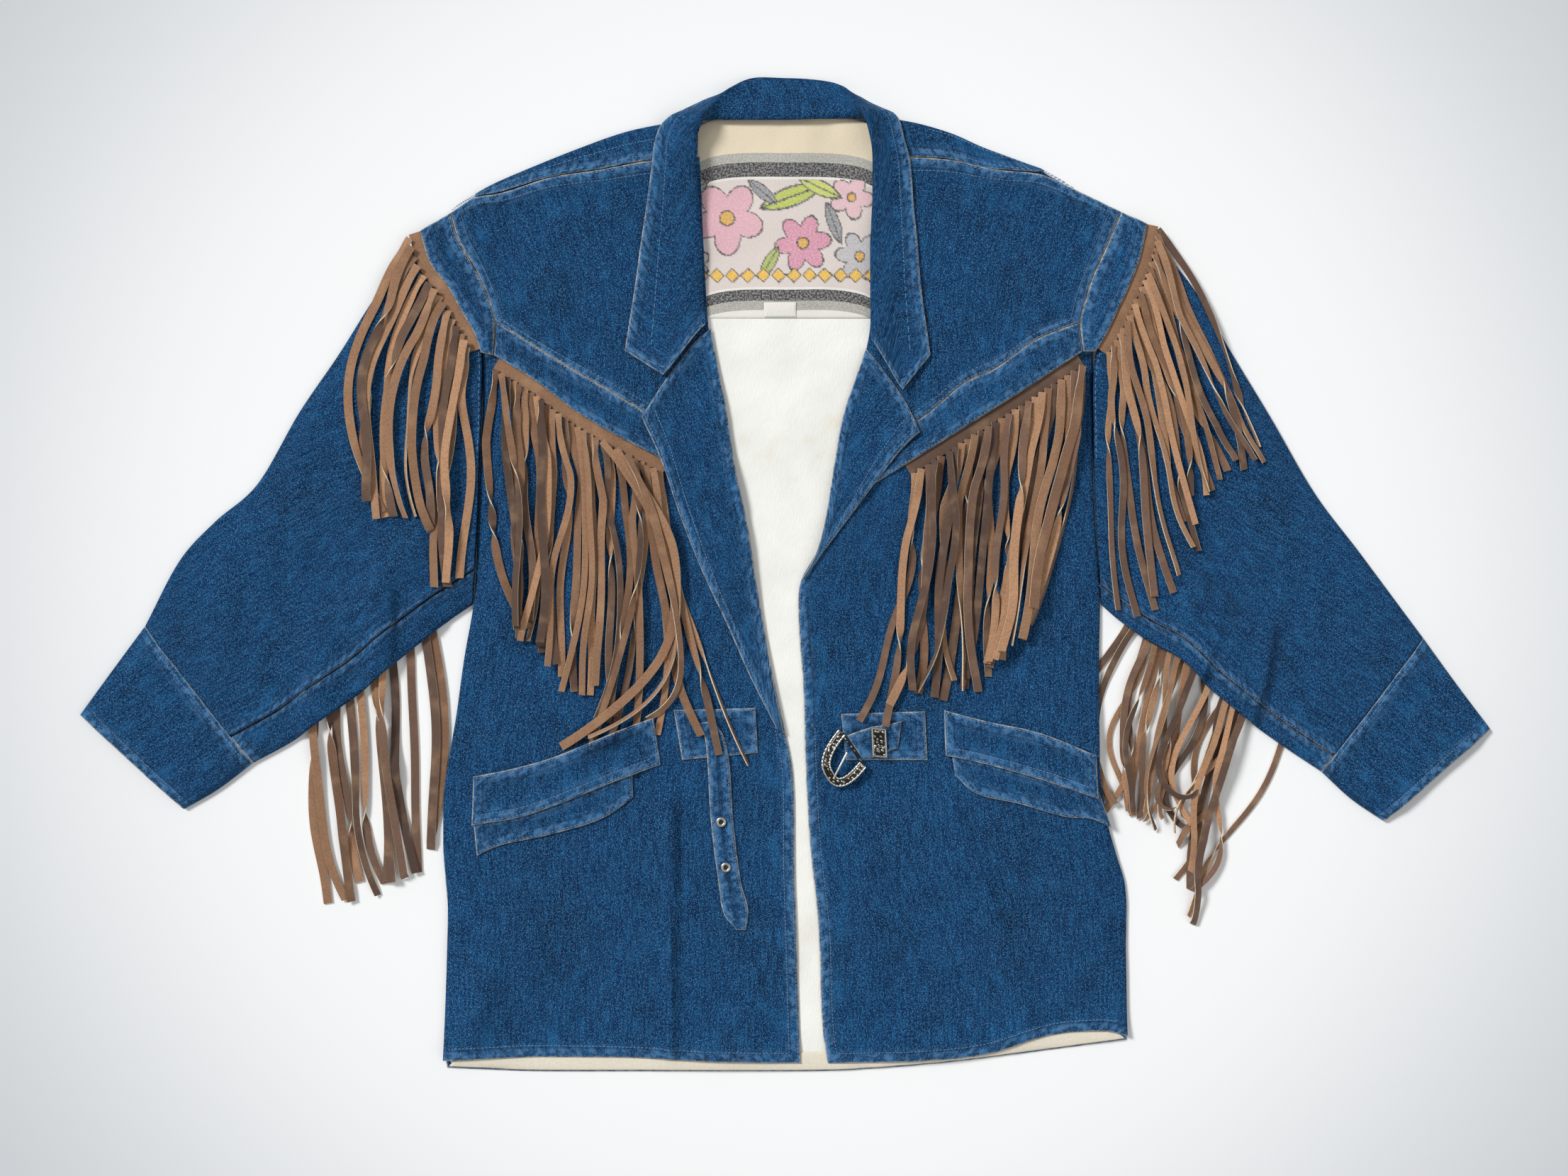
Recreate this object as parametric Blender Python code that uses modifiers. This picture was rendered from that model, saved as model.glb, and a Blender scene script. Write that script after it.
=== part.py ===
"""Denim jacket with suede fringe, laid flat with its front up.

The jacket is made as it is sewn and then laid down: every piece of cloth is a panel between
four seams or edges, and each one lies on the pieces that are already there.  The heap keeps
the height of the top surface, so a panel rests 0.3 mm above whatever it covers.
Left and right are the sides that the viewer sees: left is -X, right is +X, the hem is -Y.
Tables are in millimetres; meshes are in metres.
"""
import math

import bmesh
import bpy
import numpy as np
from mathutils import Vector

MM = 0.001

# Driving sizes, in millimetres
GAP = 0.3            # air between pieces that lie on each other
SEAM = 0.5           # air between pieces that are sewn edge to edge
DENIM = 1.3          # wall of denim, with its seam allowances pressed flat
COTTON = 1.0         # lining and label
SUEDE = 1.2          # fringe leather
SLEEVE_EDGE = 4.0    # height of a flattened sleeve along its two folds
SLEEVE_PUFF = 1.7    # how much higher the sleeve is along its middle
SLEEVE_REACH = 46.0  # how far round it a sleeve clears the fringe that it lies on
STRIP = 7.0          # width of the uncut strip that the strands hang from
STRIP_REACH = 33.0   # how far round it the strip clears whatever it lies on
ROLL_SIZE = 2.0      # distance between the two layers of the collar at its roll
SQUARE = 2.0         # size of the squares in which the heap keeps its height
STIFFNESS = 2        # how many crossings away a panel feels a step beneath it
FLOOR_SIZE = (1300.0, 1000.0)
MIDDLE = (-1.0, -0.2)          # middle of the outline, which becomes the origin

FINISHES = {
    # name: colour, roughness, metallic
    "denim": ((0.026, 0.085, 0.213), 0.9, 0.0),
    "cotton": ((0.83, 0.83, 0.78), 0.9, 0.0),
    "print": ((0.52, 0.50, 0.51), 0.85, 0.0),
    "suede": ((0.33, 0.19, 0.10), 0.95, 0.0),
    "silver": ((0.55, 0.53, 0.50), 0.35, 1.0),
}


def smooth(keys, values, at):
    """The value at a key, on a smooth curve through a table's rows that never overshoots."""
    keys = np.asarray(keys, float)
    values = np.asarray(values, float)
    at = np.clip(np.asarray(at, float), keys[0], keys[-1])
    steps = np.diff(keys)
    slopes = np.diff(values) / steps
    tangents = np.concatenate([slopes[:1], (slopes[:-1] + slopes[1:]) / 2, slopes[-1:]])
    turning = slopes[:-1] * slopes[1:] <= 0
    tangents[1:-1][turning] = 0.0
    row = np.clip(np.searchsorted(keys, at, side="right") - 1, 0, len(steps) - 1)
    step = steps[row]
    t = (at - keys[row]) / step
    start, end = values[row], values[row + 1]
    out = tangents[row] * step
    into = tangents[row + 1] * step
    return (start * (2 * t**3 - 3 * t**2 + 1) + end * (3 * t**2 - 2 * t**3)
            + out * (t**3 - 2 * t**2 + t) + into * (t**3 - t**2))


def edge(*points):
    """A smooth line through a few points (x, y), by the part of its length that is gone."""
    points = np.array(points, float)
    lengths = np.concatenate([[0.0], np.cumsum(np.hypot(*np.diff(points, axis=0).T))])
    lengths /= lengths[-1]

    def at(t):
        return np.stack([smooth(lengths, points[:, 0], t), smooth(lengths, points[:, 1], t)], axis=-1)
    return at


def beside(line, distance):
    """The same line moved to its left, seen along it, by a distance."""
    def at(t):
        t = np.asarray(t, float)
        along = line(np.minimum(t + 0.01, 1.0)) - line(np.maximum(t - 0.01, 0.0))
        along /= np.linalg.norm(along, axis=-1, keepdims=True)
        return line(t) + distance * np.stack([-along[..., 1], along[..., 0]], axis=-1)
    return at


def part_of(line, start, end):
    """The stretch of a line between two parts of its length."""
    return lambda t: line(start + (end - start) * np.asarray(t, float))


def between(line_a, line_b, t):
    """A straight edge from line_a to line_b, at the same part of both."""
    return edge(line_a(t), line_b(t))


def plan(top, bottom, left, right):
    """Fills the space inside four edges: u runs along top and bottom, v down the sides."""
    def place(u, v):
        across, down = u[..., None], v[..., None]
        sides = (1 - across) * left(v) + across * right(v)
        ends = (1 - down) * top(u) + down * bottom(u)
        corners = ((1 - across) * (1 - down) * top(0) + across * (1 - down) * top(1)
                   + (1 - across) * down * bottom(0) + across * down * bottom(1))
        return sides + ends - corners
    return place


class Heap:
    """The height of the top surface of all that lies there so far."""

    def __init__(self):
        self.top = np.zeros((int(FLOOR_SIZE[0] / SQUARE), int(FLOOR_SIZE[1] / SQUARE)))
        self.waiting = []

    def square(self, xy):
        i = np.rint((xy[..., 0] + FLOOR_SIZE[0] / 2) / SQUARE).astype(int)
        j = np.rint((xy[..., 1] + FLOOR_SIZE[1] / 2) / SQUARE).astype(int)
        return i, j

    def height(self, xy, reach):
        """The highest thing within reach of each point, in both directions."""
        i, j = self.square(xy)
        squares = int(math.ceil(reach / SQUARE))
        best = np.zeros(i.shape)
        for di in range(-squares, squares + 1):
            for dj in range(-squares, squares + 1):
                best = np.maximum(best, self.top[i + di, j + dj])
        return best

    def seat(self, xy, reach):
        """The height at which a new piece rests: the bare floor, or just above the heap."""
        below = self.height(xy, reach)
        return np.where(below > 0.0, below + GAP, 0.0)

    def add(self, points):
        """Notes a piece's top surface, for the next layer."""
        self.waiting.append(np.array(points))

    def settle(self):
        """Ends a layer: what was added in it now carries the pieces that follow."""
        for points in self.waiting:
            cells = max(np.abs(np.diff(points[..., :2], axis=0)).max(),
                        np.abs(np.diff(points[..., :2], axis=1)).max())
            parts = np.linspace(0.0, 1.0, int(cells / SQUARE * 1.5) + 2)
            for p in parts:
                for q in parts:
                    spot = ((points[:-1, :-1] * (1 - p) + points[1:, :-1] * p) * (1 - q)
                            + (points[:-1, 1:] * (1 - p) + points[1:, 1:] * p) * q)
                    np.maximum.at(self.top, self.square(spot), spot[..., 2])
        self.waiting = []


for old in list(bpy.data.objects):
    bpy.data.objects.remove(old)
JACKET = bpy.data.collections.new("fringe_jacket")
bpy.context.scene.collection.children.link(JACKET)
HEAP = Heap()


def make(name, bm, finish):
    """Turns a bmesh into the named piece, with a material of its own, round the middle."""
    bmesh.ops.translate(bm, verts=bm.verts[:], vec=(-MIDDLE[0] * MM, -MIDDLE[1] * MM, 0.0))
    mesh = bpy.data.meshes.new(name)
    bm.to_mesh(mesh)
    bm.free()
    mesh.shade_smooth()
    mesh.set_sharp_from_angle(angle=math.radians(45))
    colour, roughness, metallic = FINISHES[finish]
    material = bpy.data.materials.new(name + "_" + finish)
    material.use_nodes = True
    surface = material.node_tree.nodes["Principled BSDF"]
    surface.inputs["Base Color"].default_value = (*colour, 1.0)
    surface.inputs["Roughness"].default_value = roughness
    surface.inputs["Metallic"].default_value = metallic
    mesh.materials.append(material)
    piece = bpy.data.objects.new(name, mesh)
    JACKET.objects.link(piece)
    return piece


def grid(points):
    """An open sheet: a grid whose crossings are moved to the given points."""
    across, along = points.shape[0] - 1, points.shape[1] - 1
    bm = bmesh.new()
    bmesh.ops.create_grid(bm, x_segments=across, y_segments=along, size=1.0)
    for vert in bm.verts:
        i = round((vert.co.x + 1) / 2 * across)
        j = round((vert.co.y + 1) / 2 * along)
        vert.co = points[i, j] * MM
    return bm


def thicken(bm, wall):
    """Gives a sheet that lies flat its wall, straight up."""
    new = bmesh.ops.extrude_face_region(bm, geom=bm.faces[:])["geom"]
    verts = [item for item in new if isinstance(item, bmesh.types.BMVert)]
    bmesh.ops.translate(bm, verts=verts, vec=(0.0, 0.0, wall * MM))
    bmesh.ops.recalc_face_normals(bm, faces=bm.faces[:])


def face_up(bm):
    """Turns an open sheet so that its highest face looks up."""
    bm.normal_update()
    highest = max(bm.faces, key=lambda face: face.calc_center_median().z)
    if highest.normal.z < 0:
        bmesh.ops.reverse_faces(bm, faces=bm.faces[:])


def add_wall(piece, wall, offset):
    """Solidify: -1 keeps the outer surface in place, 0 keeps the middle of the wall."""
    solidify = piece.modifiers.new("wall", "SOLIDIFY")
    solidify.thickness = wall * MM
    solidify.offset = offset


def raise_folds(xy, folds):
    """Height of soft folds: each runs along a line and falls away on both sides of it."""
    height = np.zeros(xy.shape[:-1])
    for x0, y0, x1, y1, top, width in folds:
        start = np.array([x0, y0])
        along = np.array([x1, y1]) - start
        t = np.clip(((xy - start) @ along) / (along @ along), 0.0, 1.0)
        away = np.linalg.norm(xy - (start + t[..., None] * along), axis=-1)
        height += top * np.exp(-(away / width) ** 2)
    return height


def stiffen(z):
    """Cloth bridges a dip instead of dropping into it: low crossings rise to their neighbours."""
    for _ in range(STIFFNESS):
        padded = np.pad(z, 1, mode="edge")
        mean = (padded[:-2, 1:-1] + padded[2:, 1:-1] + padded[1:-1, :-2] + padded[1:-1, 2:]) / 4
        z = np.maximum(z, mean)
    return z


def cells(across, along):
    """The parameters u and v of a grid's crossings."""
    return np.meshgrid(np.linspace(0, 1, across + 1), np.linspace(0, 1, along + 1), indexing="ij")


def lay(name, place, across, along, wall=DENIM, finish="denim", folds=(), reach=None):
    """Lays one panel on the heap and thickens it; a panel over a flat one needs little reach."""
    xy = place(*cells(across, along))
    if reach is None:
        reach = max(np.abs(np.diff(xy, axis=0)).max(), np.abs(np.diff(xy, axis=1)).max()) + SQUARE
    z = stiffen(HEAP.seat(xy, reach)) + raise_folds(xy, folds)
    points = np.dstack([xy, z])
    bm = grid(points)
    thicken(bm, wall)
    HEAP.add(points + (0.0, 0.0, wall))
    return make(name, bm, finish)


# Seams and edges of each side.  Every edge is a list of its points; columns: x, y.
SIDES = {
    "left": {
        "armhole": edge((-307, 287), (-298, 261), (-284, 243), (-271, 220), (-258.5, 195), (-257, 150),
                        (-259, 100), (-261, 40), (-265, -26)),
        "shoulder_seam": edge((-284, 305), (-265, 317), (-243, 321), (-200, 334), (-149, 342),
                              (-113, 348), (-73, 351)),
        "band_seam": edge((-284, 305), (-277, 282), (-264, 260), (-252, 234), (-246, 214)),
        "band_edge": edge((-309, 289), (-300, 261), (-286, 243), (-273, 220), (-262, 201), (-257, 186)),
        "chest_seam": edge((-246, 214), (-201, 185), (-150, 155), (-120, 137), (-48, 97)),
        "chest_edge": edge((-246, 184), (-208, 160), (-178, 137), (-150, 120), (-106, 97), (-41, 60)),
        "yoke_neck": edge((-73, 351), (-69, 259), (-65, 200), (-57, 150), (-48, 97)),
        "front_top": edge((-256, 192), (-208, 171), (-150, 131), (-106, 107), (-43, 72)),
        "side": edge((-256, 192), (-256, 150), (-258, 100), (-260, 40), (-263, -26), (-272, -70),
                     (-279, -120), (-289, -185), (-290, -228), (-286, -280), (-287, -330), (-290, -411)),
        "opening": edge((-43, 72), (-33, 42), (-26, -3), (-13, -78), (0, -138), (5, -165), (7, -251),
                        (12, -413)),
        "hem": edge((-290, -411), (-200, -408), (-119, -409), (-82, -411), (12, -413)),
        "gorge": edge((-122, 132), (-111, 150), (-101, 165), (-89, 181), (-78, 195), (-64, 207)),
        "lapel_edge": edge((-122, 132), (-106, 97), (-89, 47), (-70, 0), (-50, -43), (-31, -86),
                           (-8, -131)),
        "roll": edge((-64, 207), (-57, 171), (-51, 141), (-43, 90), (-33, 42), (-26, -3), (-13, -78),
                     (-2, -135)),
        "welt_top": edge((-264, -171), (-230, -164), (-198, -155), (-142, -132), (-112, -121)),
        "welt_bottom": edge((-265, -212), (-225, -205), (-198, -196), (-140, -173), (-106, -161)),
        "flap_top": edge((-264, -207), (-225, -200), (-198, -191), (-150, -172), (-130, -164)),
        "flap_bottom": edge((-261, -238), (-247, -231), (-200, -220), (-153, -205), (-129, -188)),
        "patch_top": edge((-95, -115), (-26, -113)),
        "patch_bottom": edge((-88, -157), (-24, -151)),
    },
    "right": {
        "armhole": edge((302, 293), (296, 266), (287, 243), (278, 224), (267, 201), (260, 180),
                        (259, 120), (262, 40), (266, -26)),
        "shoulder_seam": edge((283, 306), (250, 322), (216, 337), (179, 341), (138, 349), (104, 351),
                              (75, 352)),
        "band_seam": edge((283, 306), (269, 273), (260, 254), (253, 233), (248, 213)),
        "band_edge": edge((304, 295), (298, 266), (289, 243), (280, 224), (269, 201), (260, 187)),
        "chest_seam": edge((248, 213), (209, 197), (175, 173), (151, 162), (117, 134), (46, 93)),
        "chest_edge": edge((249, 187), (202, 156), (156, 127), (110, 98), (41, 56)),
        "yoke_neck": edge((75, 352), (71, 275), (71, 215), (60, 160), (46, 93)),
        "front_top": edge((257, 195), (202, 167), (156, 138), (110, 108), (42, 68)),
        "side": edge((257, 195), (257, 150), (257, 100), (259, 40), (262, -26), (263, -90),
                     (264, -154), (270, -205), (279, -238), (286, -262), (287, -320), (288, -390)),
        "opening": edge((42, 68), (26, 20), (12, -7), (10, -24), (12, -67), (14, -90), (16, -154),
                        (20, -228), (27, -296), (31, -388), (35, -413)),
        "hem": edge((288, -390), (268, -386), (240, -387), (213, -392), (167, -406), (117, -411),
                    (35, -413)),
        "gorge": edge((112, 119), (103, 140), (94, 155), (80, 174), (67, 190)),
        "lapel_edge": edge((112, 119), (101, 109), (85, 90), (55, 50), (25, 10), (16, -3)),
        "roll": edge((67, 190), (58, 164), (50, 141), (45, 120), (40, 90), (26, 20), (13, -5)),
        "welt_top": edge((261, -153), (213, -134), (167, -124), (133, -115)),
        "welt_bottom": edge((262, -189), (213, -173), (167, -160), (134, -153)),
        "flap_top": edge((263, -184), (213, -168), (167, -155), (139, -149)),
        "flap_bottom": edge((274, -214), (258, -207), (236, -205), (197, -194), (158, -184),
                            (142, -170)),
        "patch_top": edge((117, -116), (46, -118)),
        "patch_bottom": edge((119, -157), (50, -157)),
    },
}

# Soft folds of the fronts.  Columns: x and y of both ends, height, width
FOLDS = {
    "left": ((-112, -205, -108, -404, 2.6, 13.0),
             (-76, -215, -78, -404, 1.6, 12.0),
             (-230, -255, -215, -330, 1.3, 24.0),
             (-170, -20, -190, -100, 1.2, 22.0),
             (-45, 20, -60, -80, 0.8, 18.0)),
    "right": ((124, -200, 150, -320, 2.0, 14.0),
              (164, -205, 205, -372, 2.8, 16.0),
              (235, -300, 250, -372, 2.2, 22.0),
              (70, -205, 75, -350, 1.1, 20.0),
              (205, 60, 210, -70, 1.0, 24.0)),
}

# Sleeves from armhole to cuff seam, then the cuff.  Columns: outer edge x, y, lower edge x, y
SLEEVES = {
    "left": ((-307, 287, -265, -26), (-345, 238, -284, -39), (-378, 186, -306, -56),
             (-412, 136, -332, -77), (-447, 76, -360, -101), (-483, 44, -390, -122),
             (-513, 11, -418, -142), (-542, -44, -451, -160)),
    "right": ((302, 293, 266, -26), (345, 240, 282, -40), (378, 184, 304, -56),
              (410, 131, 332, -72), (446, 69, 358, -98), (483, 20, 386, -121),
              (512, -19, 416, -143), (538, -54, 452, -167)),
}
CUFFS = {
    "left": ((-542, -44, -451, -160), (-570, -82, -480, -182), (-597, -119, -509, -199)),
    "right": ((538, -54, 452, -167), (567, -94, 477, -190), (595, -131, 505, -209)),
}
# Width of the under-sleeve that shows on top, and that lies beneath, beside the lower fold
UNDER_SHOWS = {"left": 29.0, "right": 17.0}
UNDER_BENEATH = 78.0

# Shoulders, from the left tip to the right.
# Columns: fold x, y, how far the cloth comes over to the front, x of the yoke's lower seam
SHOULDERS = ((-304.5, 289.5, 1, -255), (-284, 307, 1, -238), (-263, 321, 2.5, -214), (-243, 332, 9.5, -190),
             (-200, 350, 15, -160), (-150, 369, 26, -125), (-116, 378, 29, -95), (-72, 383, 31, -62),
             (-36, 383, 30, -31), (0, 383, 30, 0), (36, 384, 30, 31), (72, 385, 32, 62),
             (105, 382, 30, 95), (138, 373, 23, 125), (168, 360, 17, 145), (209, 345, 5, 180),
             (218, 341, 2, 196), (250, 323, 1, 222), (283, 307, 1, 237), (299.5, 295, 1, 255))
YOKE_LOW = 191.0     # the back yoke's lower seam, hidden beneath
NECK_HALF = 66.0     # beyond this the shoulders come over to the front
RETURN_ENDS = (-262.0, 217.0)      # and so far out, on the left and on the right

# Collar, from the left gorge round the neck to the right gorge.
# Columns: seam x, y, height; roll x, y, height; leaf edge x, y, height.  A height is that
# of the middle of the wall above whatever lies at that place.
COLLAR = ((-82, 207, 1.0, -66, 211, 2.3, -136, 188, 1.0),
          (-84, 240, 1.0, -68, 240, 2.3, -128, 238, 1.0),
          (-86, 276, 1.0, -69, 277, 2.4, -123, 275, 1.0),
          (-88, 308, 1.0, -71, 305, 3.0, -118, 307, 1.0),
          (-88, 338, 1.1, -74, 340, 5.0, -113, 342, 1.0),
          (-82, 360, 1.2, -74, 362, 9.5, -110, 366, 1.2),
          (-74, 379, 1.6, -68, 382, 15.0, -101, 382, 2.0),
          (-62, 382.5, 2.0, -61, 394, 14.0, -76, 397, 2.0),
          (-50, 382, 2.6, -47, 409, 9.0, -54, 404, 1.6),
          (-29, 382, 3.2, -28, 419.5, 3.6, -29, 400, 0.7),
          (0, 382, 3.2, 0, 420, 2.6, 0, 396, 0.7),
          (29, 383, 3.2, 30, 417.5, 3.6, 30, 399, 0.7),
          (46, 383.5, 2.6, 48, 410, 9.0, 54, 405, 1.6),
          (58, 384, 2.0, 57, 396, 14.0, 71, 398, 2.0),
          (70, 381, 1.6, 64, 385, 15.0, 92, 386, 2.0),
          (81, 362, 1.2, 70, 362, 9.5, 99, 366, 1.2),
          (86, 340, 1.1, 71, 340, 5.0, 104, 344, 1.0),
          (86, 307, 1.0, 71, 307, 3.0, 107, 310, 1.0),
          (84, 276, 1.0, 69, 275, 2.4, 110, 280, 1.0),
          (84, 238, 1.0, 69, 238, 2.3, 113, 243, 1.0),
          (84, 200, 1.0, 70, 197, 2.3, 121, 184, 1.0))
LEAF_NOTCH = (32.0, 36.0)   # how far the leaf's ends dip to the gorge, left and right

# Fringe.  Each row is a guide: strands between two rows lie between them.
# Columns: part of the strip, x and y halfway down, x and y at the tip
GUIDES = {
    "shoulder_left": ((0.0, -369, 178, -366, 80), (0.25, -343, 160, -340, 52), (0.5, -318, 140, -315, 40),
                      (0.75, -293, 115, -292, 14), (1.0, -267, 100, -269, 4)),
    "chest_left": ((0.0, -241, 60, -238, -50), (0.2, -215, 50, -213, -58), (0.4, -189, 35, -186, -98),
                   (0.6, -161, 15, -158, -122), (0.8, -127, 5, -114, -124), (0.9, -108, -15, -76, -160),
                   (1.0, -89, -25, -42, -168)),
    "shoulder_right": ((0.0, 368, 190, 404, 98), (0.25, 350, 165, 368, 88), (0.5, 325, 140, 343, 52),
                       (0.75, 298, 110, 316, 14), (1.0, 268, 100, 276, -30)),
    "chest_right": ((0.0, 243, 70, 229, -28), (0.2, 216, 50, 202, -58), (0.4, 188, 40, 174, -84),
                    (0.6, 160, 20, 146, -112), (0.8, 130, 10, 114, -116), (0.9, 113, -10, 88, -130),
                    (1.0, 94, -20, 58, -130)),
    "sleeve_left": ((0.0, -400, -190, -408, -297), (0.3, -369, -170, -374, -276),
                    (0.6, -337, -140, -336, -260), (1.0, -292, -100, -298, -228)),
    "sleeve_right": ((0.0, 390, -190, 374, -292), (0.3, 359, -170, 344, -270),
                     (0.6, 327, -140, 316, -226), (1.0, 283, -100, 281, -212)),
}
SLEEVE_ROOT = {"left": edge((-404, -48), (-360, -20), (-312, 24)),
               "right": edge((404, -50), (360, -22), (312, 20))}
# Columns: fringe, the edge that its strip follows, and the stretch of that edge
STRIPS = (("shoulder", "band_edge", 0.0, 0.96), ("chest", "chest_edge", 0.02, 0.68))
STRIP_SHOWS = 2.0      # how far a strip reaches out from under its band
STRANDS = {"shoulder": 18, "chest": 22, "sleeve": 18}
STRAND_WIDTH = {"shoulder": 2.8, "chest": 3.8, "sleeve": 3.6}
UNEVEN = 0.08          # how much the strands differ in length
STRAND_CUTS = {"shoulder": (0.14, 0.4, 0.7, 1.0), "chest": (0.14, 0.4, 0.7, 1.0),
               "sleeve": (0.3, 0.65, 1.0)}

# Straps.  Columns: x and y of the two edges
BELT_STRAP = ((-76, -126, -62, -124), (-69.5, -136, -54, -134), (-67, -154, -49, -152),
              (-64, -205, -45, -205), (-57, -262, -38, -260), (-52.5, -287, -32, -285),
              (-42, -300, -34, -300))
BUCKLE_STRAP = ((97, -124, 94, -147), (84, -127, 82, -151), (72, -129, 72, -155),
                (50.9, -135.8, 64.3, -156.6))
EYELETS = ((-55, -209), (-51, -247))
EYELET_SIZE = (8.7, 3.5)        # outer and inner diameter
BUCKLE_BAR = ((47, -134), (64, -160))
BUCKLE_DEPTH = 26.0             # from the bar to the far end of the bow
BUCKLE_WIRE = 1.8               # half the thickness of the frame
KEEPER = (72, -130, 83, -153)   # corners of the engraved loop
KEEPER_WALL = 1.6
TONGUE = ((51, -150), (40, -171))
TONGUE_RADIUS = 1.0


def sleeve_ring(rows, lengthwise, stations, armhole=None):
    """Outer surface of a flattened sleeve at a few stations round it.

    A station is (part, distance, level): a part of the sleeve's width, from 0 at the outer
    fold to 1 at the lower one, plus a distance the same way.
    Level 1 is on top, 0 beneath, and between them on a fold.  The armhole bows in from a
    straight line, and so does the sleeve's start.
    """
    rows = np.array(rows, float)
    keys = np.linspace(0.0, 1.0, len(rows))
    points = np.zeros((len(lengthwise), len(stations), 3))
    for i, s in enumerate(lengthwise):
        outer = np.array([smooth(keys, rows[:, 0], s), smooth(keys, rows[:, 1], s)])
        lower = np.array([smooth(keys, rows[:, 2], s), smooth(keys, rows[:, 3], s)])
        length = np.linalg.norm(lower - outer)
        for j, (part, distance, level) in enumerate(stations):
            t = part + distance / length
            spot = outer + (lower - outer) * t
            if armhole is not None:
                spot = spot + (armhole(t) - (rows[0, :2] + (rows[0, 2:] - rows[0, :2]) * t)) * (1.0 - s) ** 2
            points[i, j, :2] = spot
            points[i, j, 2] = level
    below = HEAP.seat(points[..., :2], SLEEVE_REACH)
    across = np.linspace(0.0, 1.0, len(lengthwise))[:, None]
    middle = np.linalg.norm(points[..., :2] - points[:, :1, :2], axis=-1)
    puff = SLEEVE_PUFF * np.sin(np.pi * np.clip(middle / middle.max(), 0.05, 0.95)) ** 0.7
    height = SLEEVE_EDGE + np.where(points[..., 2] == 1.0, puff, 0.0) * (1 - 0.3 * across)
    points[..., 2] = below + height * points[..., 2]
    return points


def fold_stations(fold):
    """Three stations that round a fold, from the top face to the one beneath."""
    radius = SLEEVE_EDGE / 2
    angles = [math.radians(a) for a in (50, 0, -50)]
    inward = 1 - 2 * fold
    return [(fold, inward * radius * (1 - math.cos(a)), 0.5 + 0.5 * math.sin(a)) for a in angles]


def build_sleeve(side):
    """A two-piece sleeve, pressed flat: its under-sleeve wraps the lower fold.

    Gives back its outer surfaces, for the layer that they belong to.
    """
    shows, beneath = UNDER_SHOWS[side], UNDER_BENEATH
    lengthwise = np.linspace(0.0, 1.0, 13)
    lengthwise[0] = 0.003
    lengthwise[-1] = 0.999
    fold_in = SLEEVE_EDGE / 2
    over = [(1, -shows - SEAM, 1), (1, -60.0, 1), (0.55, 0, 1), (0.40, 0, 1), (0.26, 0, 1),
            (0.13, 0, 1), (0, fold_in, 1)]
    back = [(0, fold_in, 0)] + [(t, -t * (beneath + SEAM), 0) for t in (0.3, 0.5, 0.7, 0.85, 1.0)]
    armhole = SIDES[side]["armhole"]
    upper = sleeve_ring(SLEEVES[side], lengthwise, over + fold_stations(0) + back, armhole)
    over = [(1, -shows, 1), (1, -shows / 2, 1), (1, -fold_in, 1)]
    back = [(1, -fold_in, 0), (1, -25.0, 0), (1, -50.0, 0), (1, -beneath, 0)]
    under = sleeve_ring(SLEEVES[side], lengthwise, over + fold_stations(1) + back, armhole)
    for name, points in (("sleeve_top_", upper), ("sleeve_under_", under)):
        bm = grid(points)
        face_up(bm)
        piece = make(name + side, bm, "denim")
        add_wall(piece, DENIM, -1.0)
    return [upper, under]


def build_cuff(side):
    """A flat tube that is open at both ends."""
    lengthwise = np.linspace(0.003, 1.0, 4)
    fold_in = SLEEVE_EDGE / 2
    over = [(1, -fold_in, 1), (0.75, 0, 1), (0.5, 0, 1), (0.25, 0, 1), (0, fold_in, 1)]
    back = [(0, fold_in, 0), (0.25, 0, 0), (0.5, 0, 0), (0.75, 0, 0), (1, -fold_in, 0)]
    stations = over + fold_stations(0) + back + fold_stations(1)[::-1] + over[:1]
    points = sleeve_ring(CUFFS[side], lengthwise, stations)
    bm = grid(points)
    bmesh.ops.remove_doubles(bm, verts=bm.verts[:], dist=0.00001)
    face_up(bm)
    piece = make("cuff_" + side, bm, "denim")
    add_wall(piece, DENIM, -1.0)
    return [points]


def strand_path(root, middle, tip, s):
    """A curve from the root through a point halfway down to the tip."""
    control = 2 * middle - (root + tip) / 2
    return (1 - s) ** 2 * root + 2 * s * (1 - s) * control + s**2 * tip


def needed_height(start, end, width):
    """How high a straight stretch of strand has to lie, to clear all that is under it."""
    t = np.linspace(0.0, 1.0, 24)[:, None]
    return HEAP.height(start + (end - start) * t, width / 2 + SQUARE).max()


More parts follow.
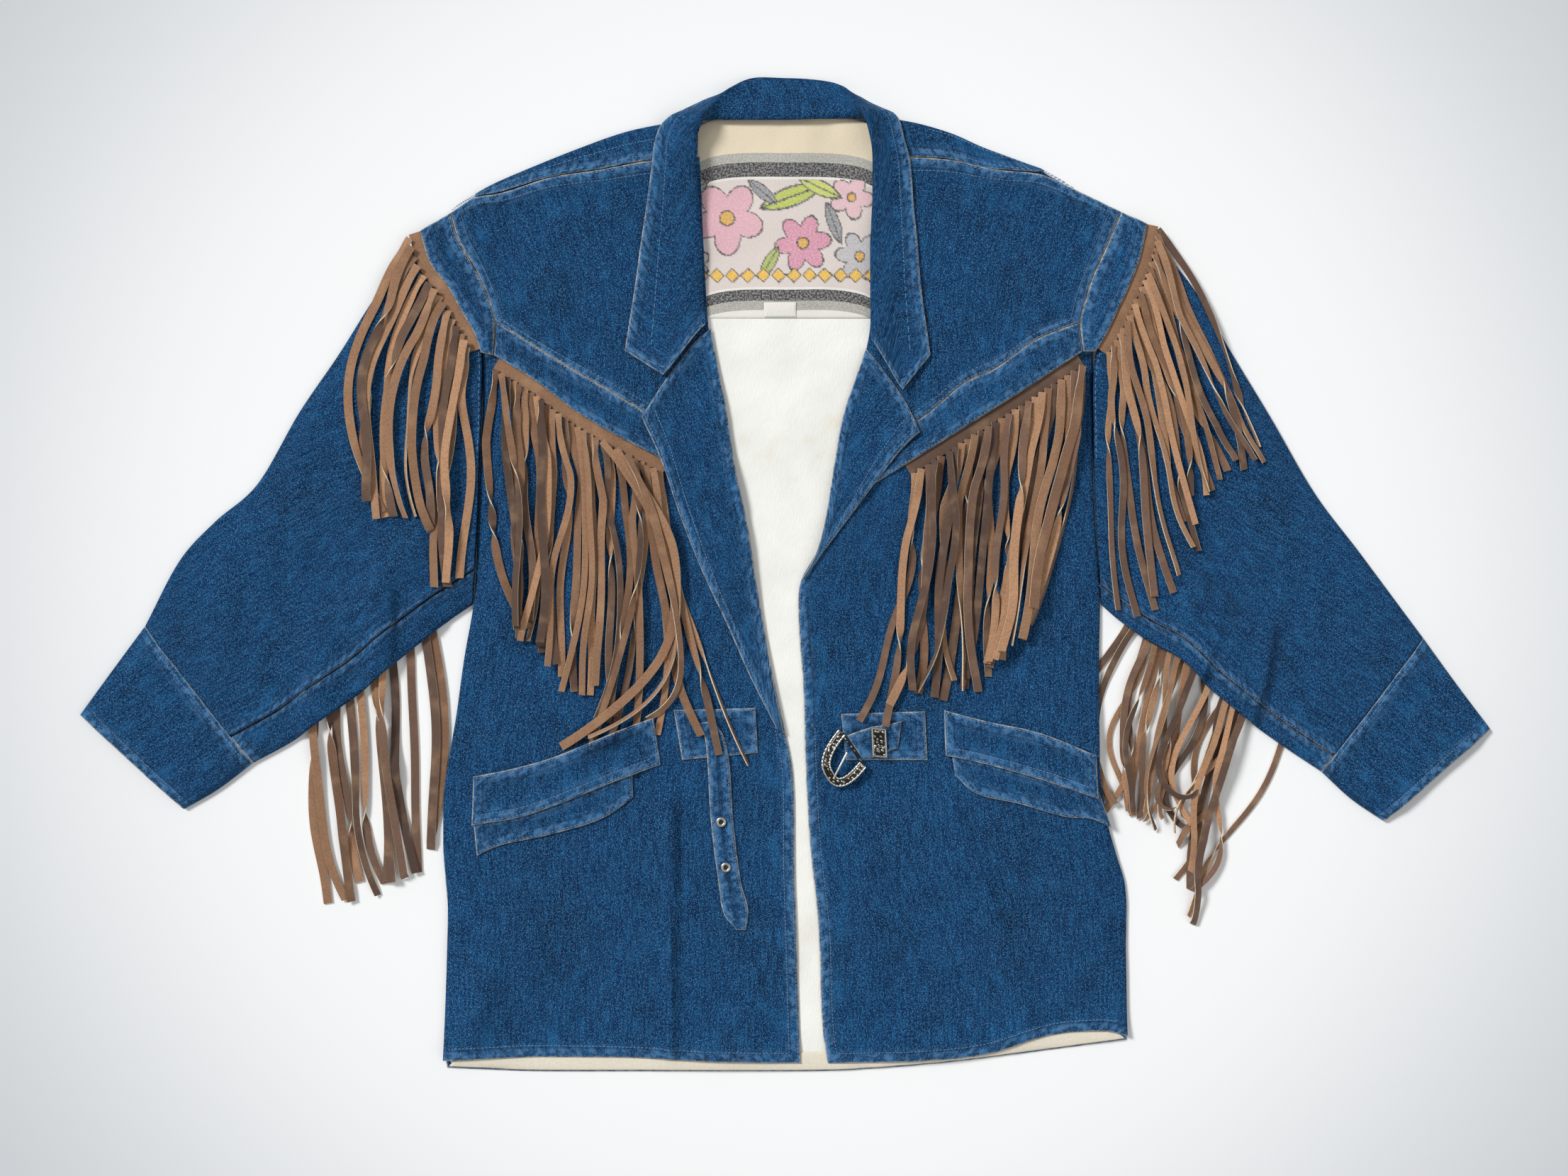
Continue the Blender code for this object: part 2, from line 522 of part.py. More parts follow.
def build_fringe(kind, side, root, inward):
    """A narrow strip and the strands cut from it, as one body."""
    count, width = STRANDS[kind], STRAND_WIDTH[kind]
    guides = np.array(GUIDES[kind + "_" + side], float).T
    middles = (np.arange(count) + 0.5) / count
    length = np.linalg.norm(np.diff(root(np.linspace(0, 1, 40)), axis=0), axis=-1).sum()
    half = min(width / 2, 0.42 * length / count) / length
    marks = np.sort(np.concatenate([middles - half, middles + half]))
    outer = root(marks)
    inner = beside(root, inward * STRIP)(marks)
    strip = np.stack([outer, inner], axis=1)
    z = HEAP.height(strip, STRIP_REACH).max(axis=1) + GAP
    level = z.reshape(count, 2).max(axis=1)          # a strand leaves the strip level
    strip = np.dstack([strip, np.repeat(np.repeat(level, 2)[:, None], 2, axis=1)])
    bm = grid(strip)
    thicken(bm, SUEDE)
    HEAP.add(strip + (0.0, 0.0, SUEDE))
    for k in range(count):
        ends = outer[2 * k], outer[2 * k + 1]
        centre = (ends[0] + ends[1]) / 2 * MM
        face = min((f for f in bm.faces if abs(f.normal.z) < 0.7),
                   key=lambda f: (f.calc_center_median().xy - Vector(centre)).length)
        middle = np.array([smooth(guides[0], guides[1], middles[k]), smooth(guides[0], guides[2], middles[k])])
        tip = np.array([smooth(guides[0], guides[3], middles[k]), smooth(guides[0], guides[4], middles[k])])
        tip += (tip - middle) * UNEVEN * math.sin(k * 2.4)
        cuts = [0.0, *STRAND_CUTS[kind]]
        spots = [strand_path(centre / MM, middle, tip, s) for s in cuts]
        heights = [needed_height(a, b, width) for a, b in zip(spots, spots[1:])]
        side_way = ends[1] - ends[0]
        face_height = face.calc_center_median().z
        corners = [((np.array(v.co.xy) - centre) @ side_way > 0, v.co.z > face_height) for v in face.verts]
        ribbon = []
        for n in range(1, len(cuts)):
            along = strand_path(centre / MM, middle, tip, cuts[n]) - strand_path(
                centre / MM, middle, tip, cuts[n] - 0.02)
            across = np.array([-along[1], along[0]]) / np.linalg.norm(along)
            across *= math.copysign(width / 2, across @ side_way)
            side_way = across
            z = max(heights[n - 1:n + 1]) + GAP
            face = bmesh.ops.extrude_discrete_faces(bm, faces=[face])["faces"][0]
            for vert, (right, up) in zip(face.verts, corners):
                xy = spots[n] + (across if right else -across)
                vert.co = (xy[0] * MM, xy[1] * MM, (z + (SUEDE if up else 0.0)) * MM)
            ribbon.append([[*(spots[n] - across), z + SUEDE], [*(spots[n] + across), z + SUEDE]])
        HEAP.add(ribbon)
    bmesh.ops.recalc_face_normals(bm, faces=bm.faces[:])
    make("fringe_" + kind + "_" + side, bm, "suede")


def build_back():
    """Back panel, flat on the floor, and its hem that reaches below the fronts."""
    left, right = SIDES["left"]["side"], SIDES["right"]["side"]
    top = edge((-256, YOKE_LOW - SEAM), (257, YOKE_LOW - SEAM))
    hem = edge((-287, -418), (-202, -421), (12, -421), (121, -415), (213, -404), (288, -394))
    left = edge(*[(x, min(y, YOKE_LOW - SEAM)) for x, y in left(np.linspace(0.0, 0.985, 12))], (-287, -418))
    right = edge(*[(x, min(y, YOKE_LOW - SEAM)) for x, y in right(np.linspace(0.0, 0.985, 12))], (288, -394))
    lay("back", plan(top, hem, left, right), 6, 12, reach=0.0)


def yoke_points():
    """Back yoke's outer surface where it lies on the floor, from its seam to the fold."""
    rows = np.array(SHOULDERS, float)
    seam = np.stack([rows[:, 3], np.full(len(rows), YOKE_LOW)], axis=-1)
    inset = rows[:, :2] - (0.0, 2.0)
    parts = np.linspace(0.0, 1.0, 4)[None, :, None]
    xy = seam[:, None, :] * (1 - parts) + inset[:, None, :] * parts
    return np.dstack([xy, np.zeros(xy.shape[:2])])


def build_back_yoke(low):
    """Back yoke: its shoulders fold over to meet the front yokes."""
    rows = np.array(SHOULDERS, float)
    end = rows[:, :2] - rows[:, 2:3] * (0.0, 1.0)
    parts = np.array([0.06, 0.5, 1.0])[None, :, None]
    over = rows[:, None, :2] * (1 - parts) + end[:, None, :] * parts
    top = HEAP.seat(over, np.diff(rows[:, 0]).max()) + DENIM
    over = np.dstack([over, top])
    rise = top.max(axis=1)[:, None]
    turn = np.array([-50, 0, 50])[None, :]
    radius = rise / 2
    bulge = 2.0 * (np.cos(np.radians(turn)) - 1)
    fold = np.dstack([np.repeat(rows[:, :1], 3, axis=1), rows[:, 1:2] + bulge,
                      radius + radius * np.sin(np.radians(turn))])
    points = np.concatenate([low, fold, over], axis=1)
    bm = grid(points)
    bm.normal_update()
    drop = []
    for face in bm.faces:
        centre = face.calc_center_median() / MM
        shown = NECK_HALF < abs(centre.x) and RETURN_ENDS[0] < centre.x < RETURN_ENDS[1]
        if face.calc_center_median().z > 0.00005 and not shown:
            drop.append(face)
    bmesh.ops.delete(bm, geom=drop, context="FACES")
    face_up(bm)
    piece = make("back_yoke", bm, "denim")
    add_wall(piece, DENIM, -1.0)
    HEAP.add(over[rows[:, 0] < -NECK_HALF])
    HEAP.add(over[(rows[:, 0] > NECK_HALF) & (rows[:, 0] < RETURN_ENDS[1])])


def build_inside():
    """Cotton lining, the printed panel below the neck and a bare label."""
    top = edge((-108, 366), (-66, 374), (0, 377), (66, 374), (108, 366))
    hem = edge((-284, -413), (-200, -416), (12, -417), (121, -410), (213, -399), (283, -391))
    left = edge((-108, 366), (-190, 300), (-238, 190), (-242, 60), (-252, -90), (-270, -230),
                (-270, -330), (-284, -413))
    right = edge((108, 366), (190, 300), (238, 190), (242, 60), (248, -90), (262, -230),
                 (270, -330), (283, -391))
    lay("back_lining", plan(top, hem, left, right), 6, 12, COTTON, "cotton", reach=SQUARE)
    HEAP.settle()
    panel = plan(edge((-86, 366), (-62, 373), (0, 376), (62, 373), (86, 366)), edge((-86, 222), (86, 222)),
                 edge((-86, 366), (-86, 222)), edge((86, 366), (86, 222)))
    lay("neck_panel", panel, 6, 4, COTTON, "print")
    HEAP.settle()
    label = plan(edge((-19, 229), (8, 229)), edge((-19, 217), (8, 217)),
                 edge((-19, 229), (-19, 217)), edge((8, 229), (8, 217)))
    lay("care_label", label, 2, 1, COTTON, "cotton")


def build_yoke(side):
    """Front yoke and the two bands that hold the fringe, edge to edge."""
    lines = SIDES[side]
    turn = 1.0 if side == "left" else -1.0
    chest_seam, chest_edge = lines["chest_seam"], lines["chest_edge"]
    yoke = plan(lines["shoulder_seam"], chest_seam, lines["band_seam"], lines["yoke_neck"])
    lay("yoke_" + side, yoke, 10, 7)
    below = beside(chest_seam, -SEAM * turn)
    band = plan(below, chest_edge, between(below, chest_edge, 0.0), between(below, chest_edge, 1.0))
    lay("chest_band_" + side, band, 10, 2)
    outside = beside(lines["band_seam"], -SEAM * turn)
    inner = edge(*outside(np.linspace(0.0, 1.0, 6)), chest_edge(0.0) - (SEAM * turn * 1.6, 0.0))
    outer = lines["band_edge"]
    shoulder = plan(between(outer, inner, 0.0), between(outer, inner, 1.0), outer, inner)
    lay("shoulder_band_" + side, shoulder, 2, 9)


def build_front(side):
    """Front panel, from beneath the chest band to the hem."""
    lines = SIDES[side]
    front = plan(lines["front_top"], lines["hem"], lines["side"], lines["opening"])
    lay("front_" + side, front, 13, 18, folds=FOLDS[side])


def build_patch(side):
    """The stitched square that carries a half of the belt."""
    top, bottom = SIDES[side]["patch_top"], SIDES[side]["patch_bottom"]
    lay("tab_patch_" + side, plan(top, bottom, between(top, bottom, 0.0), between(top, bottom, 1.0)), 4, 3)


def strap_plan(rows):
    """A strap between two edges that are given row by row."""
    rows = np.array(rows, float)
    one, other = edge(*rows[:, :2]), edge(*rows[:, 2:])
    return plan(between(one, other, 0.0), between(one, other, 1.0), one, other)


def build_eyelet(number, spot):
    """A rolled metal ring that stands on the strap."""
    outer, inner = EYELET_SIZE
    ring, wire = (outer + inner) / 4, (outer - inner) / 4
    z = HEAP.height(np.array([spot], float), outer / 2)[0] + GAP
    bpy.ops.mesh.primitive_torus_add(major_segments=14, minor_segments=6, major_radius=ring * MM,
                                     minor_radius=wire * MM)
    piece = bpy.context.object
    bm = bmesh.new()
    bm.from_mesh(piece.data)
    bpy.data.objects.remove(piece)
    flat = 0.7
    bmesh.ops.scale(bm, verts=bm.verts[:], vec=(1.0, 1.0, flat))
    bmesh.ops.translate(bm, verts=bm.verts[:], vec=(spot[0] * MM, spot[1] * MM, (z + wire * flat) * MM))
    make("eyelet_" + str(number), bm, "silver")


def wire_piece(name, points, radius, cyclic):
    """A bent metal rod: a curve with a round section, made a mesh."""
    curve = bpy.data.curves.new(name, "CURVE")
    curve.dimensions = "3D"
    curve.bevel_depth = radius * MM
    curve.bevel_resolution = 2
    curve.use_fill_caps = True
    spline = curve.splines.new("POLY")
    spline.points.add(len(points) - 1)
    for point, place in zip(spline.points, points):
        point.co = (place[0] * MM, place[1] * MM, place[2] * MM, 1.0)
    spline.use_cyclic_u = cyclic
    guide = bpy.data.objects.new(name + "_curve", curve)
    JACKET.objects.link(guide)
    bpy.context.view_layer.update()
    mesh = bpy.data.meshes.new_from_object(guide.evaluated_get(bpy.context.evaluated_depsgraph_get()))
    bm = bmesh.new()
    bm.from_mesh(mesh)
    bpy.data.objects.remove(guide)
    bmesh.ops.remove_doubles(bm, verts=bm.verts[:], dist=0.00001)
    bmesh.ops.recalc_face_normals(bm, faces=bm.faces[:])
    return make(name, bm, "silver")


def buckle_points():
    """The frame's middle line in plan: a straight bar and a bow."""
    start, end = np.array(BUCKLE_BAR, float)
    middle, half = (start + end) / 2, (end - start) / 2
    out = np.array([half[1], -half[0]]) / np.linalg.norm(half)
    out *= math.copysign(1.0, -out[0]) * (BUCKLE_DEPTH - BUCKLE_WIRE)
    points = []
    for n in range(15):
        angle = math.pi * n / 14
        wide = math.copysign(abs(math.cos(angle)) ** 0.7, math.cos(angle))
        points.append(middle - half * wide * 1.04 + out * abs(math.sin(angle)) ** 0.8)
    return points


def build_buckle():
    """Buckle frame, beside the folded end of its strap; gives back the height of its top."""
    points = np.array(buckle_points())
    z = HEAP.height(points, BUCKLE_WIRE * 2).max() + GAP + BUCKLE_WIRE
    wire_piece("buckle", [(*p, z) for p in points], BUCKLE_WIRE, True)
    HEAP.add([[[*p, z + BUCKLE_WIRE], [*(p + 2.0), z + BUCKLE_WIRE]] for p in points])
    return z + BUCKLE_WIRE


def build_keeper():
    """The engraved loop round the short strap; only the side that faces up is made."""
    x0, y0, x1, y1 = KEEPER
    keeper = plan(edge((x0, y0), (x1, y0 - 1)), edge((x0 + 1, y1), (x1 + 1, y1 - 1)),
                  edge((x0, y0), (x0 + 1, y1)), edge((x1, y0 - 1), (x1 + 1, y1 - 1)))
    lay("keeper", keeper, 2, 4, KEEPER_WALL, "silver")


def build_tongue(frame_top):
    """The buckle's tongue, lying across the frame as shown."""
    start, end = np.array(TONGUE, float)
    z = frame_top + GAP + TONGUE_RADIUS
    parts = np.linspace(0.0, 1.0, 5)[:, None]
    points = start + (end - start) * parts
    wire_piece("buckle_tongue", [(*p, z) for p in points], TONGUE_RADIUS, False)
    HEAP.add([[[*p, z + TONGUE_RADIUS], [*(p + 2.0), z + TONGUE_RADIUS]] for p in points])


def build_lapel(side):
    """Turned-out facing, from the roll line to the lapel's edge."""
    lines = SIDES[side]
    bottom = edge(lines["lapel_edge"](1.0), lines["roll"](1.0))
    lay("facing_" + side, plan(lines["gorge"], bottom, lines["lapel_edge"], lines["roll"]), 6, 16)


def build_collar():
    """A band folded along its roll: the leaf lies outside the stand all the way round."""
    rows = np.array(COLLAR, float)
    keys = np.linspace(0.0, 1.0, len(rows))
    at = np.linspace(0.0, 1.0, 33)
    seam, roll, leaf = (np.stack([smooth(keys, rows[:, 3 * n + c], at) for c in range(3)], axis=-1)
                        for n in range(3))
    stand_parts = np.array([0.0, 0.5])[None, :, None]
    leaf_parts = np.array([0.0, 0.25, 0.5, 0.75, 1.0])[None, :, None]
    inward = seam[:, :2] - roll[:, :2]
    out = leaf[:, :2] - roll[:, :2]
    stand = seam[:, None, :2] - inward[:, None, :] * stand_parts
    sheet = roll[:, None, :2] + out[:, None, :] * (0.12 + 0.88 * leaf_parts)
    ends = np.minimum(at, 1 - at)
    notch = np.where(at < 0.5, *LEAF_NOTCH) * np.clip(1 - ends / 0.07, 0.0, 1.0) ** 1.5
    tent = 1 - np.abs(2 * leaf_parts[..., 0] - 1)
    sheet[..., 1] -= notch[:, None] * tent
    near = roll[:, None, :2]
    xy = np.concatenate([stand, near, sheet], axis=1)
    below = HEAP.seat(xy, 14.0)
    height = np.concatenate([
        seam[:, None, 2] + (roll[:, None, 2] - ROLL_SIZE - seam[:, None, 2]) * stand_parts[..., 0],
        roll[:, None, 2],
        roll[:, None, 2] + (leaf[:, None, 2] - roll[:, None, 2]) * leaf_parts[..., 0]], axis=1)
    upright = np.clip((np.abs(at - 0.5) - 0.12) / 0.1, 0.0, 1.0)
    height[:, 3:] += upright[:, None] * ROLL_SIZE * np.array([0.6, 0.75, 0.6, 0.2, 0.0])
    points = np.dstack([xy, below + height])
    points[:, 2, 2] = points[:, 1, 2] * 0.5 + points[:, 3, 2] * 0.5
    bm = grid(points)
    face_up(bm)
    piece = make("collar", bm, "denim")
    add_wall(piece, DENIM, 0.0)
    HEAP.add(points)


def build_pocket(side, part):
    """A slanting welt, or the flap that hangs out beneath it."""
    top, bottom = SIDES[side][part + "_top"], SIDES[side][part + "_bottom"]
    lay("pocket_" + part + "_" + side,
        plan(top, bottom, between(top, bottom, 0.0), between(top, bottom, 1.0)), 8, 3)


def main():
    both = ("left", "right")
    for side in both:
        build_fringe("sleeve", side, SLEEVE_ROOT[side], 1.0 if side == "left" else -1.0)
    HEAP.settle()
    sleeves = [surface for side in both for surface in build_sleeve(side) + build_cuff(side)]
    low = yoke_points()
    build_back()
    HEAP.add(low + (0.0, 0.0, DENIM))
    HEAP.settle()
    build_inside()
    HEAP.settle()
    build_back_yoke(low)
    for side in both:
        build_front(side)
    for surface in sleeves:
        HEAP.add(surface)
    HEAP.settle()
    for side in both:
        build_patch(side)
    HEAP.settle()
    lay("belt_strap", strap_plan(BELT_STRAP), 2, 11)
    lay("buckle_strap", strap_plan(BUCKLE_STRAP), 2, 4)
    frame_top = build_buckle()
    HEAP.settle()
    for number, spot in enumerate(EYELETS, start=1):
        build_eyelet(number, spot)
    build_keeper()
    build_tongue(frame_top)
    HEAP.settle()
    for side in both:
        turn = 1.0 if side == "left" else -1.0
        for kind, line, start, end in STRIPS:
            stretch = part_of(SIDES[side][line], start, end)
            build_fringe(kind, side, beside(stretch, -STRIP_SHOWS * turn), turn)
    HEAP.settle()
    for side in both:
        build_yoke(side)
    HEAP.settle()
    for side in both:
        build_lapel(side)
        build_pocket(side, "flap")
    HEAP.settle()
    build_collar()
    for side in both:
        build_pocket(side, "welt")


main()
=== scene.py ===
# %% [markdown]
# # Denim fringe jacket, laid flat
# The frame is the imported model: plain pieces in their places, each of which is replaced here by
# a finer one.  They are built in the order in which the jacket is laid down: every panel rests on
# the heap of what is already there, as cloth does on a table.
# Left and right are the viewer's: left is -X, right is +X, and the hem is -Y.
# Tables are in millimetres and meshes in metres.

# %% Imports and the frame
import math

import bmesh
import bpy
import numpy as np
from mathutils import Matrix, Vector


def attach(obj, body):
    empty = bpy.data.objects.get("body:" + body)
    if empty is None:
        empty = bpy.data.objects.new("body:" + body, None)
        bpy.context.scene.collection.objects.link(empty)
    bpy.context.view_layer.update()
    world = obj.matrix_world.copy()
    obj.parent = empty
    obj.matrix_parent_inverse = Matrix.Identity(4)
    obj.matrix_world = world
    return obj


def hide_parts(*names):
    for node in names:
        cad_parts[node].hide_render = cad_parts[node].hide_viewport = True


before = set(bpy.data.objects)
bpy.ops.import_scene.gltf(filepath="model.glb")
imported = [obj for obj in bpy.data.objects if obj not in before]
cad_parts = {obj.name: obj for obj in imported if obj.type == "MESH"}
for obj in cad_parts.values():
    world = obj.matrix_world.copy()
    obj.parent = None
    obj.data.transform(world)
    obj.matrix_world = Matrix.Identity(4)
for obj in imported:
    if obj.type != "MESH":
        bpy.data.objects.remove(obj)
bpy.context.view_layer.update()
print("frame", len(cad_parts), "nodes")

# %% [markdown]
# ## Driving sizes
# The real jacket is denim of a good millimetre, a thin cotton lining and split suede.  These
# walls, and the size of a grid's cells, decide how finely everything below is built.

# %% Sizes
MM = 0.001
MIDDLE = (-1.0, -0.2)      # middle of the outline in the tables, which is the origin
DENIM = 1.3                # wall of denim
COTTON = 0.8
TAPE = 0.5                 # wall of the label
PATCH = 1.0                # wall of the stitched squares
STRAP = 1.7                # wall of a strap, two layers sewn together
SUEDE = 1.1
AIR = 0.15                 # space between two things that lie on each other
STEP = 3.4                 # size of the cells of a panel
RIM = (0.0, 0.5, 1.4)      # rows close to an edge, where the cloth rounds over
SQUARE = 2.0               # size of the squares in which the heap keeps its height
FLOOR_SIZE = (1300.0, 1000.0)
SLEEVE_EDGE = 4.2          # height of a flattened sleeve along its folds
SLEEVE_PUFF = 1.4          # how much higher it stands in its middle
DICE = np.random.default_rng(11)      # the same random numbers on every run
print("walls", DENIM, COTTON, SUEDE, "mm, cells of", STEP, "mm")

# %% [markdown]
# ## Lines and surfaces
# A cut piece of cloth is bounded by seams.  Each seam could be a curve object, but a function
# that gives the point at any part of its length is easier to move, shorten and join.  A panel
# then fills the space inside four such lines, so that its threads follow its own edges.

# %% Lines
def smooth(keys, values, at):
    """The value at a key, on a smooth curve through a table's rows that never overshoots."""
    keys = np.asarray(keys, float)
    values = np.asarray(values, float)
    at = np.clip(np.asarray(at, float), keys[0], keys[-1])
    steps = np.diff(keys)
    slopes = np.diff(values) / steps
    tangents = np.concatenate([slopes[:1], (slopes[:-1] + slopes[1:]) / 2, slopes[-1:]])
    tangents[1:-1][slopes[:-1] * slopes[1:] <= 0] = 0.0
    row = np.clip(np.searchsorted(keys, at, side="right") - 1, 0, len(steps) - 1)
    step = steps[row]
    t = (at - keys[row]) / step
    start, end = values[row], values[row + 1]
    value = start * (2 * t**3 - 3 * t**2 + 1) + end * (3 * t**2 - 2 * t**3)
    return value + step * (tangents[row] * (t**3 - 2 * t**2 + t) + tangents[row + 1] * (t**3 - t**2))


def edge(*points):
    """A smooth line through a few points (x, y), by the part of its length that is gone."""
    points = np.array(points, float)
    lengths = np.concatenate([[0.0], np.cumsum(np.hypot(*np.diff(points, axis=0).T))])
    lengths /= lengths[-1]

    def at(t):
        return np.stack([smooth(lengths, points[:, 0], t), smooth(lengths, points[:, 1], t)], axis=-1)
    return at


def beside(line, distance):
    """The same line moved to its left, seen along it, by a distance."""
    def at(t):
        t = np.asarray(t, float)
        along = line(np.minimum(t + 0.01, 1.0)) - line(np.maximum(t - 0.01, 0.0))
        along /= np.linalg.norm(along, axis=-1, keepdims=True)
        return line(t) + distance * np.stack([-along[..., 1], along[..., 0]], axis=-1)
    return at


def part_of(line, start, end):
    """The stretch of a line between two parts of its length."""
    return lambda t: line(start + (end - start) * np.asarray(t, float))


def between(line_a, line_b, t):
    """A straight edge from line_a to line_b, at the same part of both."""
    return edge(line_a(t), line_b(t))


def plan(top, bottom, left, right):
    """Fills the space inside four edges: u runs along top and bottom, v down the sides."""
    def place(u, v):
        across, down = u[..., None], v[..., None]
        sides = (1 - across) * left(v) + across * right(v)
        ends = (1 - down) * top(u) + down * bottom(u)
        corners = ((1 - across) * (1 - down) * top(0) + across * (1 - down) * top(1)
                   + (1 - across) * down * bottom(0) + across * down * bottom(1))
        return sides + ends - corners
    return place


def band_plan(top, bottom):
    """Fills the space between two edges, with straight ends."""
    return plan(top, bottom, between(top, bottom, 0.0), between(top, bottom, 1.0))


def long(line):
    """The length of a line, in millimetres."""
    return float(np.linalg.norm(np.diff(line(np.linspace(0, 1, 30)), axis=0), axis=-1).sum())


print("a straight line of 100 mm measures", long(edge((0, 0), (100, 0))), "mm")

# %% [markdown]
# ## The heap
# Flat clothes are layers: a pocket on a front, a front on the lining.  A cloth simulation could
# stack them, but forty layers that touch would push each other about.  Instead a map of the
# floor keeps the height of what lies there, and every new piece is put on top of it.

# %% The heap
class Heap:
    """The height of the top surface of all that lies there so far."""

    def __init__(self):
        self.top = np.zeros((int(FLOOR_SIZE[0] / SQUARE), int(FLOOR_SIZE[1] / SQUARE)))
        self.waiting = []

    def square(self, xy):
        """The square under each point."""
        i = np.rint((xy[..., 0] + FLOOR_SIZE[0] / 2) / SQUARE).astype(int)
        j = np.rint((xy[..., 1] + FLOOR_SIZE[1] / 2) / SQUARE).astype(int)
        return i, j

    def height(self, xy, reach):
        """The highest thing within reach of each point, in both directions."""
        i, j = self.square(xy)
        squares = int(math.ceil(reach / SQUARE))
        best = np.zeros(i.shape)
        for di in range(-squares, squares + 1):
            for dj in range(-squares, squares + 1):
                best = np.maximum(best, self.top[i + di, j + dj])
        return best

    def seat(self, xy, reach):
        """The height at which a new piece rests: the bare floor, or just above the heap."""
        below = self.height(xy, reach)
        return np.where(below > 0.0, below + AIR, 0.0)

    def add(self, points):
        """Notes a piece's top surface, for the next layer."""
        self.waiting.append(np.array(points))

    def settle(self):
        """Ends a layer: what was added in it now carries the pieces that follow."""
        for points in self.waiting:
            cells = max(np.abs(np.diff(points[..., :2], axis=0)).max(),
                        np.abs(np.diff(points[..., :2], axis=1)).max())
            parts = np.linspace(0.0, 1.0, int(cells / SQUARE * 1.5) + 2)
            for p in parts:
                for q in parts:
                    spot = ((points[:-1, :-1] * (1 - p) + points[1:, :-1] * p) * (1 - q)
                            + (points[:-1, 1:] * (1 - p) + points[1:, 1:] * p) * q)
                    np.maximum.at(self.top, self.square(spot), spot[..., 2])
        self.waiting = []


HEAP = Heap()
print("heap of", HEAP.top.shape, "squares")

# %% [markdown]
# ## Rumples and folds
# Washed denim never lies quite flat: it has swells of a hand's width, and smaller dents in them.
# Filtered noise gives both.  The large folds of the photo are ridges along given lines, and
# draping rounds off the steps where the cloth passes over something.

# %% Rumples and folds
def rumple_field(size):
    """Soft random heights over the whole floor: filtered noise, about -2 to 2."""
    white = DICE.standard_normal(HEAP.top.shape)
    fx = np.fft.fftfreq(white.shape[0], SQUARE)[:, None]
    fy = np.fft.fftfreq(white.shape[1], SQUARE)[None, :]
    kept = np.exp(-2 * (math.pi * size) ** 2 * (fx**2 + fy**2))
    soft = np.fft.ifft2(np.fft.fft2(white) * kept).real
    return soft / soft.std()


# Columns: size of the swells, their height
RUMPLES = [(rumple_field(size), height) for size, height in ((28.0, 0.95), (11.0, 0.50), (5.0, 0.14))]


def rumples(xy):
    """Height of the cloth's small unevenness at each point, never below 0."""
    i = np.clip((xy[..., 0] + FLOOR_SIZE[0] / 2) / SQUARE, 0, HEAP.top.shape[0] - 2)
    j = np.clip((xy[..., 1] + FLOOR_SIZE[1] / 2) / SQUARE, 0, HEAP.top.shape[1] - 2)
    i0, j0 = i.astype(int), j.astype(int)
    p, q = i - i0, j - j0
    total = np.zeros(xy.shape[:-1])
    for field, height in RUMPLES:
        value = ((field[i0, j0] * (1 - p) + field[i0 + 1, j0] * p) * (1 - q)
                 + (field[i0, j0 + 1] * (1 - p) + field[i0 + 1, j0 + 1] * p) * q)
        total += height * np.clip(value + 1.6, 0.0, 4.0)
    return total


def raise_folds(xy, folds):
    """Height of soft folds: each runs along a line and falls away on both sides of it."""
    height = np.zeros(xy.shape[:-1])
    for x0, y0, x1, y1, top, width in folds:
        start = np.array([x0, y0])
        along = np.array([x1, y1]) - start
        t = np.clip(((xy - start) @ along) / (along @ along), 0.0, 1.0)
        away = np.linalg.norm(xy - (start + t[..., None] * along), axis=-1)
        height += top * np.exp(-(away / width) ** 2)
    return height


def drape(z, rounds):
    """Cloth bridges what it covers: it never drops below its seat, and rounds off the steps."""
    seat = z
    for _ in range(rounds):
        wide = np.pad(z, 1, mode="edge")
        mean = (wide[:-2, 1:-1] + wide[2:, 1:-1] + wide[1:-1, :-2] + wide[1:-1, 2:]) / 4
        z = np.maximum(seat, mean)
    return z


print("rumples of", [height for _, height in RUMPLES], "mm")

# %% [markdown]
# ## Materials
# All patterns are made of nodes, so that they have no seams and need no picture.  On cloth they
# read two attributes that every panel carries: where a point lies on the flat cloth, in metres
# across and along the warp, and how far it is from the panel's four edges, in mm.

# %% Node helper
SMOOTH = {"interpolation_type": "SMOOTHSTEP"}      # settings of a soft step between two values
BLEND = {"data_type": "RGBA"}                      # settings of a mix of two colours


def colour(code):
    """A hex colour as linear RGBA."""
    parts = [int(code[i:i + 2], 16) / 255 for i in (1, 3, 5)]
    return (*[p / 12.92 if p <= 0.04045 else ((p + 0.055) / 1.055) ** 2.4 for p in parts], 1.0)


def add(tree, kind, *values, output=None, **settings):
    """Adds a node with its settings and gives back one of its outputs, the first if none is named.

    The values go to its inputs in order: a socket is linked, and None leaves an input as it is.
    """
    node = tree.nodes.new("ShaderNode" + kind)
    for key, value in settings.items():
        setattr(node, key, value)
    shown = [socket for socket in node.inputs if socket.enabled]
    for socket, value in zip(shown, values):
        if isinstance(value, bpy.types.NodeSocket):
            tree.links.new(value, socket)
        elif value is not None:
            socket.default_value = value
    if output:
        return node.outputs[output]
    return [socket for socket in node.outputs if socket.enabled][0]


def material(name, roughness, metallic=0.0, sheen=0.0):
    """A new material and its shader."""
    made = bpy.data.materials.new(name)
    made.use_nodes = True
    shader = made.node_tree.nodes["Principled BSDF"]
    shader.inputs["Roughness"].default_value = roughness
    shader.inputs["Metallic"].default_value = metallic
    shader.inputs["Sheen Weight"].default_value = sheen
    shader.inputs["Sheen Roughness"].default_value = 0.6
    print("material:", name)
    return made, made.node_tree, shader


